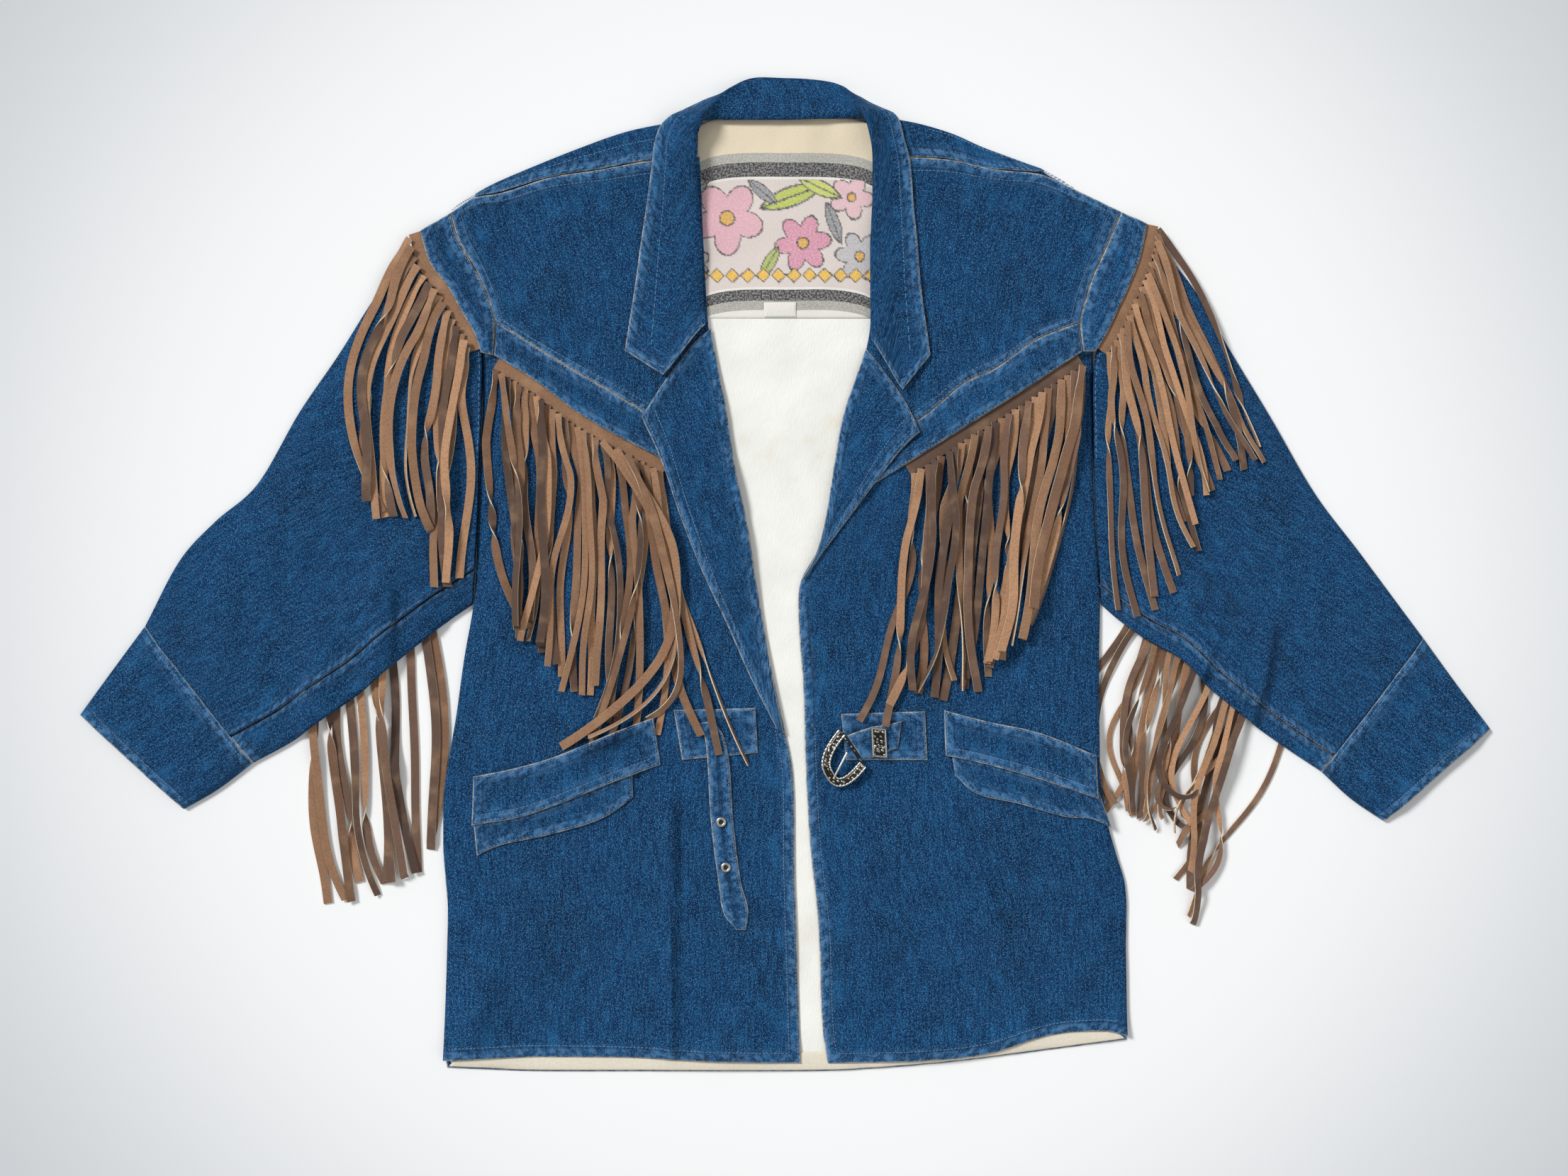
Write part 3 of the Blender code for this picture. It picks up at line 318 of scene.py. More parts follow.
def finish_look(tree, shader, base, strength=0.0, depth=0.0, height=None):
    """Ties a colour to a shader, and a relief of a depth in metres."""
    tree.links.new(base, shader.inputs["Base Color"])
    if height is not None:
        bump = add(tree, "Bump", strength, depth, None, height)
        tree.links.new(bump, shader.inputs["Normal"])


# %% [markdown]
# ## Stonewashed denim: the weave
# The real cloth is a twill of blue warp over white weft, about two yarns a millimetre, dyed on
# the outside of the yarn and then washed with stones.  To the eye it is a dull deep blue, full of
# pale flecks, with cloudy patches where more dye is gone.  A photograph of cloth could be wrapped
# on, but it would repeat; noise that is stretched along the warp gives flecks that never do.

# %% Weave
# Size of each pattern on the cloth, in mm.  The yarns are finer than a pixel of the render, so
# streaks and specks are drawn about twice as coarse as they are.
PATCHES = 60.0
CLOUDS = 10.0
STREAKS = 0.8
SLUBS = 2.0
SPECKS = 1.0


def weave(tree, cloth, dark, mid, light, worn):
    """Colour of the bare cloth, and the streaks of its warp."""
    cloudy = add(tree, "VectorMath", cloth, (1.0, 0.5, 1.0), operation="MULTIPLY")
    warp = add(tree, "VectorMath", cloth, (1.0, 0.30, 1.0), operation="MULTIPLY")
    yarn = add(tree, "VectorMath", cloth, (1.0, 0.10, 1.0), operation="MULTIPLY")
    patches = add(tree, "TexNoise", cloth, 1 / (PATCHES * MM), 4.0)
    clouds = add(tree, "TexNoise", cloudy, 1 / (CLOUDS * MM), 4.0)
    streaks = add(tree, "TexNoise", warp, 1 / (STREAKS * MM), 1.0)
    slubs = add(tree, "TexNoise", yarn, 1 / (SLUBS * MM), 2.0)
    specks = add(tree, "TexNoise", cloth, 1 / (SPECKS * MM), 1.0)
    part = add(tree, "MapRange", patches, 0.25, 0.62, 0.25, 1.0, **SMOOTH)
    base = add(tree, "Mix", part, dark, mid, **BLEND)
    part = add(tree, "MapRange", clouds, 0.45, 0.80, 0.0, 0.12, **SMOOTH)
    base = add(tree, "Mix", part, base, light, **BLEND)
    part = add(tree, "Math", slubs, 0.38, operation="MULTIPLY")
    part = add(tree, "Math", streaks, 0.62, part, operation="MULTIPLY_ADD")
    part = add(tree, "MapRange", part, 0.42, 0.72, 0.0, 0.55, **SMOOTH)
    base = add(tree, "Mix", part, base, light, **BLEND)
    part = add(tree, "MapRange", specks, 0.56, 0.70, 0.0, 0.70, **SMOOTH)
    pale = add(tree, "Mix", 0.20, light, worn, **BLEND)
    return add(tree, "Mix", part, base, pale, **BLEND), streaks


# %% [markdown]
# ## Stonewashed denim: wear, spots and painted shade
# Where cloth is turned in and sewn, it puckers like a rope, and the washing rubs the blue off
# whatever stands up: the very edge is nearly white, and the seam beside it is mottled.  Such wear
# could be painted by hand; here it follows the distance to the edge, broken up by noise, so that
# every panel gets its own.  The hollow beside a turned seam is darkened as painted shade.

# %% Wear and painted shade
ROPES = 6.5          # size of the puckers beside a seam
FRAY = 2.2           # size of the broken bits along an edge
# The hollow beside a turned seam gets a dark line of painted shade.
SHADED_GROOVE = 8.6         # distance from the edge to the hollow beside a turned seam
# Faint brown spots on the fronts.  Columns: x, y, size
SPOTS = ((-175, -228, 4), (-178, -244, 5), (-170, -238, 3), (-258, -338, 5), (33, -270, 4))
SPOT_LEVEL = 6.0     # height of the cloth that has the spots


def wear_and_groove_shade(tree, base, cloth, near, ropes, seam, dark, light, worn):
    """Fades a colour along the edges: a mottled seam and a broken rim, which are wear, and a dark line of
    painted shade in the groove.
    """
    part = add(tree, "MapRange", ropes, 0.42, 0.64, 0.062, 0.62, **SMOOTH)
    part = add(tree, "Math", part, seam, operation="MULTIPLY")
    base = add(tree, "Mix", part, base, add(tree, "Mix", 0.15, light, worn, **BLEND), **BLEND)
    long_way = add(tree, "VectorMath", cloth, (1.0, 0.4, 1.0), operation="MULTIPLY")
    part = add(tree, "TexNoise", long_way, 1 / (16.0 * MM), 3.0)
    part = add(tree, "MapRange", part, 0.48, 0.72, 0.0, 0.22, **SMOOTH)
    wide = add(tree, "MapRange", near, 8.0, 45.0, 1.0, 0.0, **SMOOTH)
    part = add(tree, "Math", part, wide, operation="MULTIPLY")
    base = add(tree, "Mix", part, base, light, **BLEND)
    fray = add(tree, "TexNoise", cloth, 1 / (FRAY * MM), 2.0)
    rim = add(tree, "Math", fray, -2.0, near, operation="MULTIPLY_ADD")
    rim = add(tree, "MapRange", rim, -0.8, 0.5, 1.0, 0.0, **SMOOTH)
    broken = add(tree, "TexNoise", cloth, 1 / (9.0 * MM), 3.0)
    broken = add(tree, "MapRange", broken, 0.35, 0.62, 0.25, 0.85, **SMOOTH)
    part = add(tree, "Math", rim, broken, operation="MULTIPLY")
    base = add(tree, "Mix", part, base, worn, **BLEND)
    base = spotted(tree, base, ropes)
    # Painted shade: a dark line in the hollow beside a turned seam, at a set distance from the edge.
    part = add(tree, "Math", near, SHADED_GROOVE, operation="SUBTRACT")
    part = add(tree, "Math", part, operation="ABSOLUTE")
    part = add(tree, "MapRange", part, 0.2, 1.6, 0.35, 0.0, **SMOOTH)
    return add(tree, "Mix", part, base, dark, **BLEND)


def spotted(tree, base, ropes):
    """Adds the few faint spots, each with an uneven rim."""
    place = add(tree, "TexCoord", output="Object")
    for x, y, size in SPOTS:
        spot = ((x - MIDDLE[0]) * MM, (y - MIDDLE[1]) * MM, SPOT_LEVEL * MM)
        away = add(tree, "VectorMath", place, spot, operation="DISTANCE")
        away = add(tree, "Math", ropes, 0.004, away, operation="MULTIPLY_ADD")
        part = add(tree, "MapRange", away, size * 0.3 * MM, (size + 2.0) * MM, 0.35, 0.0, **SMOOTH)
        base = add(tree, "Mix", part, base, colour("#3A2A26"), **BLEND)
    return base


def denim(name, dark, mid, light, worn):
    """Indigo warp with pale flecks of weft, faded in patches, worn white along its edges, with painted shade
    beside its seams.
    """
    made, tree, shader = material(name, 0.9, sheen=0.02)
    shader.inputs["Specular IOR Level"].default_value = 0.1
    cloth = add(tree, "Attribute", attribute_name="cloth", output="Vector")
    edges = add(tree, "Attribute", attribute_name="edges", output="Color")
    parts = add(tree, "SeparateColor", edges).node.outputs
    sides = add(tree, "Math", parts[0], parts[1], operation="MINIMUM")
    ends = add(tree, "Math", parts[2], edges.node.outputs["Alpha"], operation="MINIMUM")
    near = add(tree, "Math", sides, ends, operation="MINIMUM")
    seam = add(tree, "MapRange", near, 3.0, 14.0, 1.0, 0.0, **SMOOTH)
    ropes = add(tree, "TexNoise", cloth, 1 / (ROPES * MM), 2.0)
    base, streaks = weave(tree, cloth, dark, mid, light, worn)
    base = wear_and_groove_shade(tree, base, cloth, near, ropes, seam, dark, light, worn)
    creases = add(tree, "TexNoise", cloth, 1 / (35.0 * MM), 1.0)
    height = add(tree, "Math", streaks, 0.5, operation="MULTIPLY")
    height = add(tree, "Math", creases, 3.0, height, operation="MULTIPLY_ADD")
    ridges = add(tree, "Math", ropes, seam, operation="MULTIPLY")
    height = add(tree, "Math", ridges, 3.2, height, operation="MULTIPLY_ADD")
    finish_look(tree, shader, base, 0.75, 0.0012, height)
    return made


DENIM_CLOTH = denim("stonewashed cotton denim", colour("#011632"), colour("#02284D"),
                    colour("#2C79B2"), colour("#BDB9AC"))

# %% [markdown]
# ## Lining and label
# The lining is plain white cotton, soft from washing, with faint yellow stains.  It is nearly
# one colour, so what the eye reads is its slubs and soft creases: two noises as a slight relief
# do that better than more colours would.

# %% Lining and label
def cotton(name, tone, shade, stain):
    """Plain woven cotton: slubs, drawn coarser than the thread, soft creases and a faint stain."""
    made, tree, shader = material(name, 0.9, sheen=0.1)
    cloth = add(tree, "Attribute", attribute_name="cloth", output="Vector")
    yarn = add(tree, "VectorMath", cloth, (1.0, 0.2, 1.0), operation="MULTIPLY")
    slubs = add(tree, "TexNoise", yarn, 1 / (1.2 * MM), 2.0)
    part = add(tree, "TexNoise", cloth, 1 / (50.0 * MM), 3.0)
    part = add(tree, "MapRange", part, 0.35, 0.7, 0.0, 1.0, **SMOOTH)
    base = add(tree, "Mix", part, tone, shade, **BLEND)
    part = add(tree, "TexNoise", cloth, 1 / (50.0 * MM), 4.0)
    part = add(tree, "MapRange", part, 0.60, 0.78, 0.0, 0.55, **SMOOTH)
    base = add(tree, "Mix", part, base, stain, **BLEND)
    part = add(tree, "Math", slubs, 0.08, operation="MULTIPLY")
    base = add(tree, "Mix", part, base, colour("#9A9688"), **BLEND)
    height = add(tree, "TexNoise", cloth, 1 / (30.0 * MM), 4.0)
    height = add(tree, "Math", slubs, 0.3, height, operation="MULTIPLY_ADD")
    finish_look(tree, shader, base, 0.5, 0.002, height)
    return made


LINING = cotton("plain cotton lining", colour("#F6F5EF"), colour("#EDEDE7"), colour("#E6D6B4"))
LABEL = cotton("satin care tape", colour("#E9E6DF"), colour("#DEDCD6"), colour("#E2DED2"))

# %% [markdown]
# ## Printed cotton
# The panel below the neck is white cotton with a screen print: flat inks in bands, which thin
# out where they meet the thread.  The bands are a stepped colour ramp down the cloth.  The motif
# is painted on the panel's own points further down and read here as an attribute, "ink".

# %% Printed cotton
# Bands of the neck panel from the top down.  Columns: y of the lower end, colour
NECK_BANDS = ((355, "#E2D2B4"), (347, "#A9A79E"), (335, "#3C3D40"), (333, "#E6E4DC"), (242, "#D9CCC6"),
              (240, "#E6E4DC"), (231, "#3A3A3D"), (223, "#A5A39B"), (215, "#E6E3DA"))
NECK_TOP, NECK_LOW = 386.0, 215.0


def printed():
    """Printed cotton: bands across the panel, speckled where the ink is thin."""
    made, tree, shader = material("printed cotton", 0.85, sheen=0.08)
    cloth = add(tree, "Attribute", attribute_name="cloth", output="Vector")
    down = add(tree, "SeparateXYZ", cloth, output="Y")
    part = add(tree, "Math", down, (NECK_TOP - NECK_LOW) * MM, operation="DIVIDE")
    bands = add(tree, "ValToRGB", part)
    bands.node.color_ramp.interpolation = "CONSTANT"
    stops = bands.node.color_ramp.elements
    while len(stops) > 1:
        stops.remove(stops[-1])
    upper = NECK_TOP
    for row, (lower, code) in enumerate(NECK_BANDS):
        place = (NECK_TOP - upper) / (NECK_TOP - NECK_LOW)
        stop = stops[0] if row == 0 else stops.new(place)
        stop.position = place
        stop.color = colour(code)
        upper = lower
    ink = add(tree, "Attribute", attribute_name="ink", output="Color")
    base = add(tree, "Mix", ink.node.outputs["Alpha"], bands, ink, **BLEND)
    part = add(tree, "TexNoise", cloth, 1 / (1.6 * MM), 2.0)
    part = add(tree, "MapRange", part, 0.42, 0.62, 0.0, 0.3, **SMOOTH)
    base = add(tree, "Mix", part, base, colour("#E4E0D8"), **BLEND)
    height = add(tree, "TexNoise", cloth, 1 / (20.0 * MM), 4.0)
    finish_look(tree, shader, base, 0.4, 0.0015, height)
    return made


PRINTED = printed()

# %% [markdown]
# ## Suede
# The fringe is split leather: a tan face, a darker brown flesh side, and cut edges that are
# nearly white, because dye doesn't reach the core.  The contrast of the three is what makes the
# strands readable.  Three materials would do it, but one that reads an attribute, "skin", keeps
# the nap the same on all of them; "shade" makes each strand a little lighter or darker.

# %% Suede
def suede():
    """Skin is 0 on the face, 0.5 on a cut edge and 1 on the flesh side."""
    made, tree, shader = material("split suede leather", 0.92, sheen=0.15)
    skin = add(tree, "Attribute", attribute_name="skin", output="Fac")
    shade = add(tree, "Attribute", attribute_name="shade", output="Fac")
    place = add(tree, "TexCoord", output="Object")
    nap = add(tree, "TexNoise", place, 1 / (1.6 * MM), 3.0)       # coarser than the real nap
    clouds = add(tree, "TexNoise", place, 1 / (18.0 * MM), 3.0)
    face = add(tree, "Mix", shade, colour("#70503A"), colour("#BC8E6A"), **BLEND)
    flesh = add(tree, "Mix", shade, colour("#46332A"), colour("#7A5C4A"), **BLEND)
    part = add(tree, "MapRange", skin, 0.6, 0.9, 0.0, 1.0, **SMOOTH)
    base = add(tree, "Mix", part, face, flesh, **BLEND)
    part = add(tree, "Math", skin, 0.5, operation="SUBTRACT")
    part = add(tree, "Math", part, operation="ABSOLUTE")
    part = add(tree, "MapRange", part, 0.05, 0.2, 1.0, 0.0, **SMOOTH)
    base = add(tree, "Mix", part, base, colour("#DCC8AB"), **BLEND)
    part = add(tree, "MapRange", nap, 0.35, 0.75, 0.0, 0.35, **SMOOTH)
    base = add(tree, "Mix", part, base, colour("#4F3828"), **BLEND)
    part = add(tree, "MapRange", clouds, 0.45, 0.8, 0.0, 0.25, **SMOOTH)
    base = add(tree, "Mix", part, base, colour("#C9A27A"), **BLEND)
    finish_look(tree, shader, base, 0.5, 0.0006, nap)
    return made


SUEDE_LEATHER = suede()

# %% [markdown]
# ## Metal, thread and tape
# The buckle is cast and plated with silver, then blackened and rubbed, so that only the raised
# scrolls shine.  Carving every scroll would take far too many faces at this size; cells of a
# Voronoi pattern give bright bumps with black hollows between them.  Thread, tape and the painted
# shade in the hole of an eyelet are so small that one colour with a slight grain is enough.

# %% Metal, thread and tape
def silver(name, size, depth):
    """Plated metal: raised work of a size in mm is bright, and the hollows between are black."""
    made, tree, shader = material(name, 0.32, metallic=1.0)
    place = add(tree, "TexCoord", output="Object")
    cells = add(tree, "TexVoronoi", place, 1 / (size * MM), feature="SMOOTH_F1")
    raised = add(tree, "MapRange", cells, 0.12, 0.45, 1.0, 0.0, **SMOOTH)
    hollow = add(tree, "MapRange", cells, 0.12, 0.45, 0.0, depth, **SMOOTH)
    base = add(tree, "Mix", hollow, colour("#CFCBC2"), colour("#1E1C1A"), **BLEND)
    finish_look(tree, shader, base, 0.8 * depth, 0.0006, raised)
    return made


def plain(name, code, roughness):
    """One even colour with a slight grain."""
    made, tree, shader = material(name, roughness)
    place = add(tree, "TexCoord", output="Object")
    grain = add(tree, "TexNoise", place, 1 / (2.0 * MM), 2.0)
    part = add(tree, "MapRange", grain, 0.3, 0.7, 0.0, 0.12, **SMOOTH)
    base = add(tree, "Mix", part, colour(code), colour("#808080"), **BLEND)
    finish_look(tree, shader, base)
    return made


ENGRAVED = silver("antiqued silver plate", 2.6, 0.95)
PLATED = silver("nickel plate", 4.0, 0.15)
THREAD = plain("faded blue sewing thread", "#6489AC", 0.8)
HEM_TAPE = plain("cream cotton hem turning", "#E4DBC8", 0.9)
# Painted shade: the near-black colour of the disc in an eyelet's hole.
HOLE_SHADE = plain("painted shade inside the eyelet", "#0B0B0C", 0.9)

# %% [markdown]
# ## Seams and edges
# A maker would draw a paper pattern of each piece.  These tables are that pattern as it lies:
# points that were measured in the photo, at 0.6 mm a pixel.  Two pieces that are sewn together
# share a line, so that no gap can open between them.

# %% Tables of the fronts
# Every edge is a list of its points.  Columns: x, y
SIDES = {
    "left": {
        "armhole": edge((-307, 287), (-298, 261), (-284, 243), (-271, 220), (-258.5, 195), (-257, 150),
                        (-259, 100), (-261, 40), (-265, -26)),
        "shoulder_seam": edge((-284, 305), (-265, 317), (-243, 321), (-200, 334), (-149, 342),
                              (-113, 348), (-73, 351)),
        "band_seam": edge((-284, 305), (-277, 282), (-264, 260), (-252, 234), (-246, 214)),
        "band_edge": edge((-309, 289), (-300, 261), (-286, 243), (-273, 220), (-262, 201), (-257, 186)),
        "chest_seam": edge((-246, 214), (-201, 185), (-150, 155), (-120, 137), (-48, 97)),
        "chest_edge": edge((-246, 184), (-208, 160), (-178, 137), (-150, 120), (-106, 97), (-41, 60)),
        "yoke_neck": edge((-73, 351), (-69, 259), (-65, 200), (-57, 150), (-48, 97)),
        "front_top": edge((-256, 192), (-208, 171), (-150, 131), (-106, 107), (-43, 72)),
        "side": edge((-257, 192), (-256.5, 150), (-258.5, 100), (-260.6, 40), (-264.4, -26), (-272, -70),
                     (-279, -120), (-289, -185), (-290, -228), (-286, -280), (-287, -330), (-290, -411)),
        "opening": edge((-43, 72), (-33, 42), (-26, -3), (-13, -78), (0, -138), (5, -165), (7, -251),
                        (12, -413)),
        "hem": edge((-290, -411), (-200, -408), (-119, -409), (-82, -411), (12, -413)),
        "gorge": edge((-122, 132), (-111, 150), (-101, 165), (-89, 181), (-78, 195), (-64, 207)),
        "lapel_edge": edge((-122, 132), (-106, 97), (-89, 47), (-70, 0), (-50, -43), (-31, -86),
                           (-8, -131)),
        "roll": edge((-64, 207), (-57, 171), (-51, 141), (-43, 90), (-33, 42), (-26, -3), (-13, -78),
                     (-2, -135)),
        "welt_top": edge((-264, -171), (-230, -164), (-198, -155), (-142, -132), (-112, -121)),
        "welt_bottom": edge((-265, -212), (-225, -205), (-198, -196), (-140, -173), (-106, -161)),
        "flap_top": edge((-264, -207), (-225, -200), (-198, -191), (-150, -172), (-130, -164)),
        "flap_bottom": edge((-261, -238), (-247, -231), (-200, -220), (-153, -205), (-129, -188)),
        "patch_top": edge((-95, -115), (-26, -113)),
        "patch_bottom": edge((-88, -157), (-24, -151)),
    },
    "right": {
        "armhole": edge((302, 293), (296, 266), (287, 243), (278, 224), (267, 201), (260, 180),
                        (259, 120), (262, 40), (266, -26)),
        "shoulder_seam": edge((283, 306), (250, 322), (216, 337), (179, 341), (138, 349), (104, 351),
                              (75, 352)),
        "band_seam": edge((283, 306), (269, 273), (260, 254), (253, 233), (248, 213)),
        "band_edge": edge((304, 295), (298, 266), (289, 243), (280, 224), (269, 201), (260, 187)),
        "chest_seam": edge((248, 213), (209, 197), (175, 173), (151, 162), (117, 134), (46, 93)),
        "chest_edge": edge((249, 187), (202, 156), (156, 127), (110, 98), (41, 56)),
        "yoke_neck": edge((75, 352), (71, 275), (71, 215), (60, 160), (46, 93)),
        "front_top": edge((257, 195), (202, 167), (156, 138), (110, 108), (42, 68)),
        "side": edge((259, 195), (258.8, 150), (258.8, 100), (261.2, 40), (265, -26), (264, -90),
                     (264, -154), (270, -205), (279, -238), (286, -262), (287, -320), (288, -390)),
        "opening": edge((42, 68), (26, 20), (12, -7), (10, -24), (12, -67), (14, -90), (16, -154),
                        (20, -228), (27, -296), (31, -388), (35, -413)),
        "hem": edge((288, -390), (268, -386), (240, -387), (213, -392), (167, -406), (117, -411),
                    (35, -413)),
        "gorge": edge((112, 119), (103, 140), (94, 155), (80, 174), (67, 190)),
        "lapel_edge": edge((112, 119), (101, 109), (85, 90), (55, 50), (25, 10), (16, -3)),
        "roll": edge((67, 190), (58, 164), (50, 141), (45, 120), (40, 90), (26, 20), (13, -5)),
        "welt_top": edge((261, -153), (213, -134), (167, -124), (133, -115)),
        "welt_bottom": edge((262, -189), (213, -173), (167, -160), (134, -153)),
        "flap_top": edge((263, -184), (213, -168), (167, -155), (139, -149)),
        "flap_bottom": edge((274, -214), (258, -207), (236, -205), (197, -194), (158, -184),
                            (142, -170)),
        "patch_top": edge((117, -116), (46, -118)),
        "patch_bottom": edge((119, -157), (50, -157)),
    },
}

# Soft folds of the fronts.  Columns: x and y of both ends, height, width
FOLDS = {
    "left": ((-98, -190, -97, -404, 5.2, 5.5), (-89, -195, -88, -404, -1.6, 2.5),
             (-70, -300, -72, -404, 1.6, 9.0), (-265, -390, -230, -300, 1.8, 9.0),
             (-230, -255, -215, -330, 2.0, 14.0), (-170, -20, -190, -100, 1.6, 15.0),
             (-215, 110, -225, -20, 1.6, 12.0), (-45, 20, -60, -80, 0.8, 18.0),
             (-210, -396, -60, -400, 1.6, 7.0), (-250, -300, -262, -385, 1.8, 10.0)),
    "right": ((140, -196, 176, -283, 5.2, 5.5), (149, -210, 170, -262, -1.4, 2.5),
              (176, -290, 205, -380, 2.6, 9.0),
              (235, -300, 250, -372, 2.6, 14.0), (70, -205, 75, -350, 1.6, 13.0),
              (205, 60, 210, -70, 1.6, 15.0), (60, -398, 190, -392, 1.4, 7.0)),
}

print("edges of the fronts:", sum(len(lines) for lines in SIDES.values()))

# %% [markdown]
# ## Sleeves, back and collar
# The sleeves lie turned outwards, flattened into two layers; the back's shoulders come over to
# the front; and the collar stands, rolls and falls.  So these tables give pairs of edges and
# heights instead of plain outlines.

# %% Tables of the sleeves, back and collar
# Sleeves from armhole to cuff seam, then the cuff.  Columns: outer edge x, y, lower edge x, y
SLEEVES = {
    "left": ((-307, 287, -265, -26), (-345, 238, -284, -39), (-378, 186, -306, -56),
             (-412, 136, -332, -77), (-447, 76, -360, -101), (-483, 44, -390, -122),
             (-513, 11, -418, -142), (-542, -44, -451, -160)),
    "right": ((302, 293, 266, -26), (345, 240, 282, -40), (378, 184, 304, -56),
              (410, 131, 332, -72), (446, 69, 358, -98), (483, 20, 386, -121),
              (512, -19, 416, -143), (538, -54, 452, -167)),
}
CUFFS = {
    "left": ((-542, -44, -451, -160), (-570, -82, -480, -182), (-597, -119, -509, -199)),
    "right": ((538, -54, 452, -167), (567, -94, 477, -190), (595, -131, 505, -209)),
}
# Width of the under-sleeve that shows on top, and that lies beneath, beside the lower fold
UNDER_SHOWS = {"left": 29.0, "right": 17.0}
UNDER_BENEATH = 78.0
# Diagonal folds of the sleeves.  Columns: x and y of both ends, height, width
SLEEVE_FOLDS = {
    "left": ((-300, 150, -420, 20, 1.3, 22.0), (-290, 60, -380, -60, 1.2, 18.0),
             (-450, 40, -470, -60, 1.0, 20.0), (-330, 200, -400, 100, 0.9, 24.0),
             (-270, 20, -350, -90, 1.6, 9.0), (-400, 120, -440, 10, 1.2, 10.0),
             (-500, -20, -440, -110, 1.1, 10.0)),
    "right": ((300, 120, 400, 20, 1.3, 22.0), (290, 40, 370, -60, 1.2, 18.0),
              (440, 40, 470, -60, 1.0, 20.0), (350, 190, 420, 90, 0.9, 24.0),
              (275, 10, 360, -90, 1.6, 9.0), (390, 100, 430, 0, 1.2, 10.0),
              (500, -40, 440, -110, 1.1, 10.0)),
}

# Shoulders, from the left tip to the right.
# Columns: fold x, y, how far the cloth comes over to the front
SHOULDERS = ((-304.5, 289.5, 1), (-284, 307, 1), (-263, 321, 2.5), (-243, 332, 9.5), (-200, 350, 15),
             (-150, 369, 26), (-116, 378, 29), (-72, 383, 31), (-36, 383, 30), (0, 383, 30),
             (36, 384, 30), (72, 385, 32), (105, 382, 30), (138, 373, 23), (168, 360, 17),
             (209, 345, 5), (218, 341, 2), (250, 323, 1), (283, 307, 1), (299.5, 295, 1))
YOKE_LOW = 191.0                  # y of the seam between back and back yoke
NECK_HALF = 76.0                  # half the width of the neck, where nothing comes over
RETURN_ENDS = (-262.0, 217.0)     # x of the ends of what comes over

# Collar, from the left gorge round the neck to the right gorge.
# Columns: seam x, y, height; roll x, y, height; leaf edge x, y, height
COLLAR = ((-82, 207, 1.0, -66, 211, 2.3, -136, 188, 1.0),
          (-84, 240, 1.0, -68, 240, 2.3, -128, 238, 1.0),
          (-86, 276, 1.0, -69, 277, 2.4, -123, 275, 1.0),
          (-88, 308, 1.0, -71, 305, 3.0, -118, 307, 1.0),
          (-88, 338, 1.1, -74, 340, 5.0, -113, 342, 1.0),
          (-82, 360, 1.2, -74, 362, 9.5, -110, 366, 1.2),
          (-74, 379, 1.6, -68, 382, 15.0, -101, 382, 2.0),
          (-62, 382.5, 2.0, -61, 394, 14.0, -76, 397, 2.0),
          (-50, 382, 2.6, -47, 409, 9.0, -54, 404, 1.6),
          (-29, 382, 3.2, -28, 419.5, 3.6, -29, 400, 0.7),
          (0, 382, 3.2, 0, 420, 2.6, 0, 396, 0.7),
          (29, 383, 3.2, 30, 417.5, 3.6, 30, 399, 0.7),
          (46, 383.5, 2.6, 48, 410, 9.0, 54, 405, 1.6),
          (58, 384, 2.0, 57, 396, 14.0, 71, 398, 2.0),
          (70, 381, 1.6, 64, 385, 15.0, 92, 386, 2.0),
          (81, 362, 1.2, 70, 362, 9.5, 99, 366, 1.2),
          (86, 340, 1.1, 71, 340, 5.0, 104, 344, 1.0),
          (86, 307, 1.0, 71, 307, 3.0, 107, 310, 1.0),
          (84, 276, 1.0, 69, 275, 2.4, 110, 280, 1.0),
          (84, 238, 1.0, 69, 238, 2.3, 113, 243, 1.0),
          (84, 200, 1.0, 70, 197, 2.3, 121, 184, 1.0))
LEAF_NOTCH = (32.0, 36.0)         # how far the leaf's ends slant towards the hem, left and right
print("collar stations:", len(COLLAR))

# %% [markdown]
# ## Fringe and belt
# Each fringe is a strip of suede that is cut into strands nearly up to its seam.  Drawing all of
# the strands by hand would take thousands of points.  A few guides say where strands hang, and
# those between two guides are blended, each a little off its place.

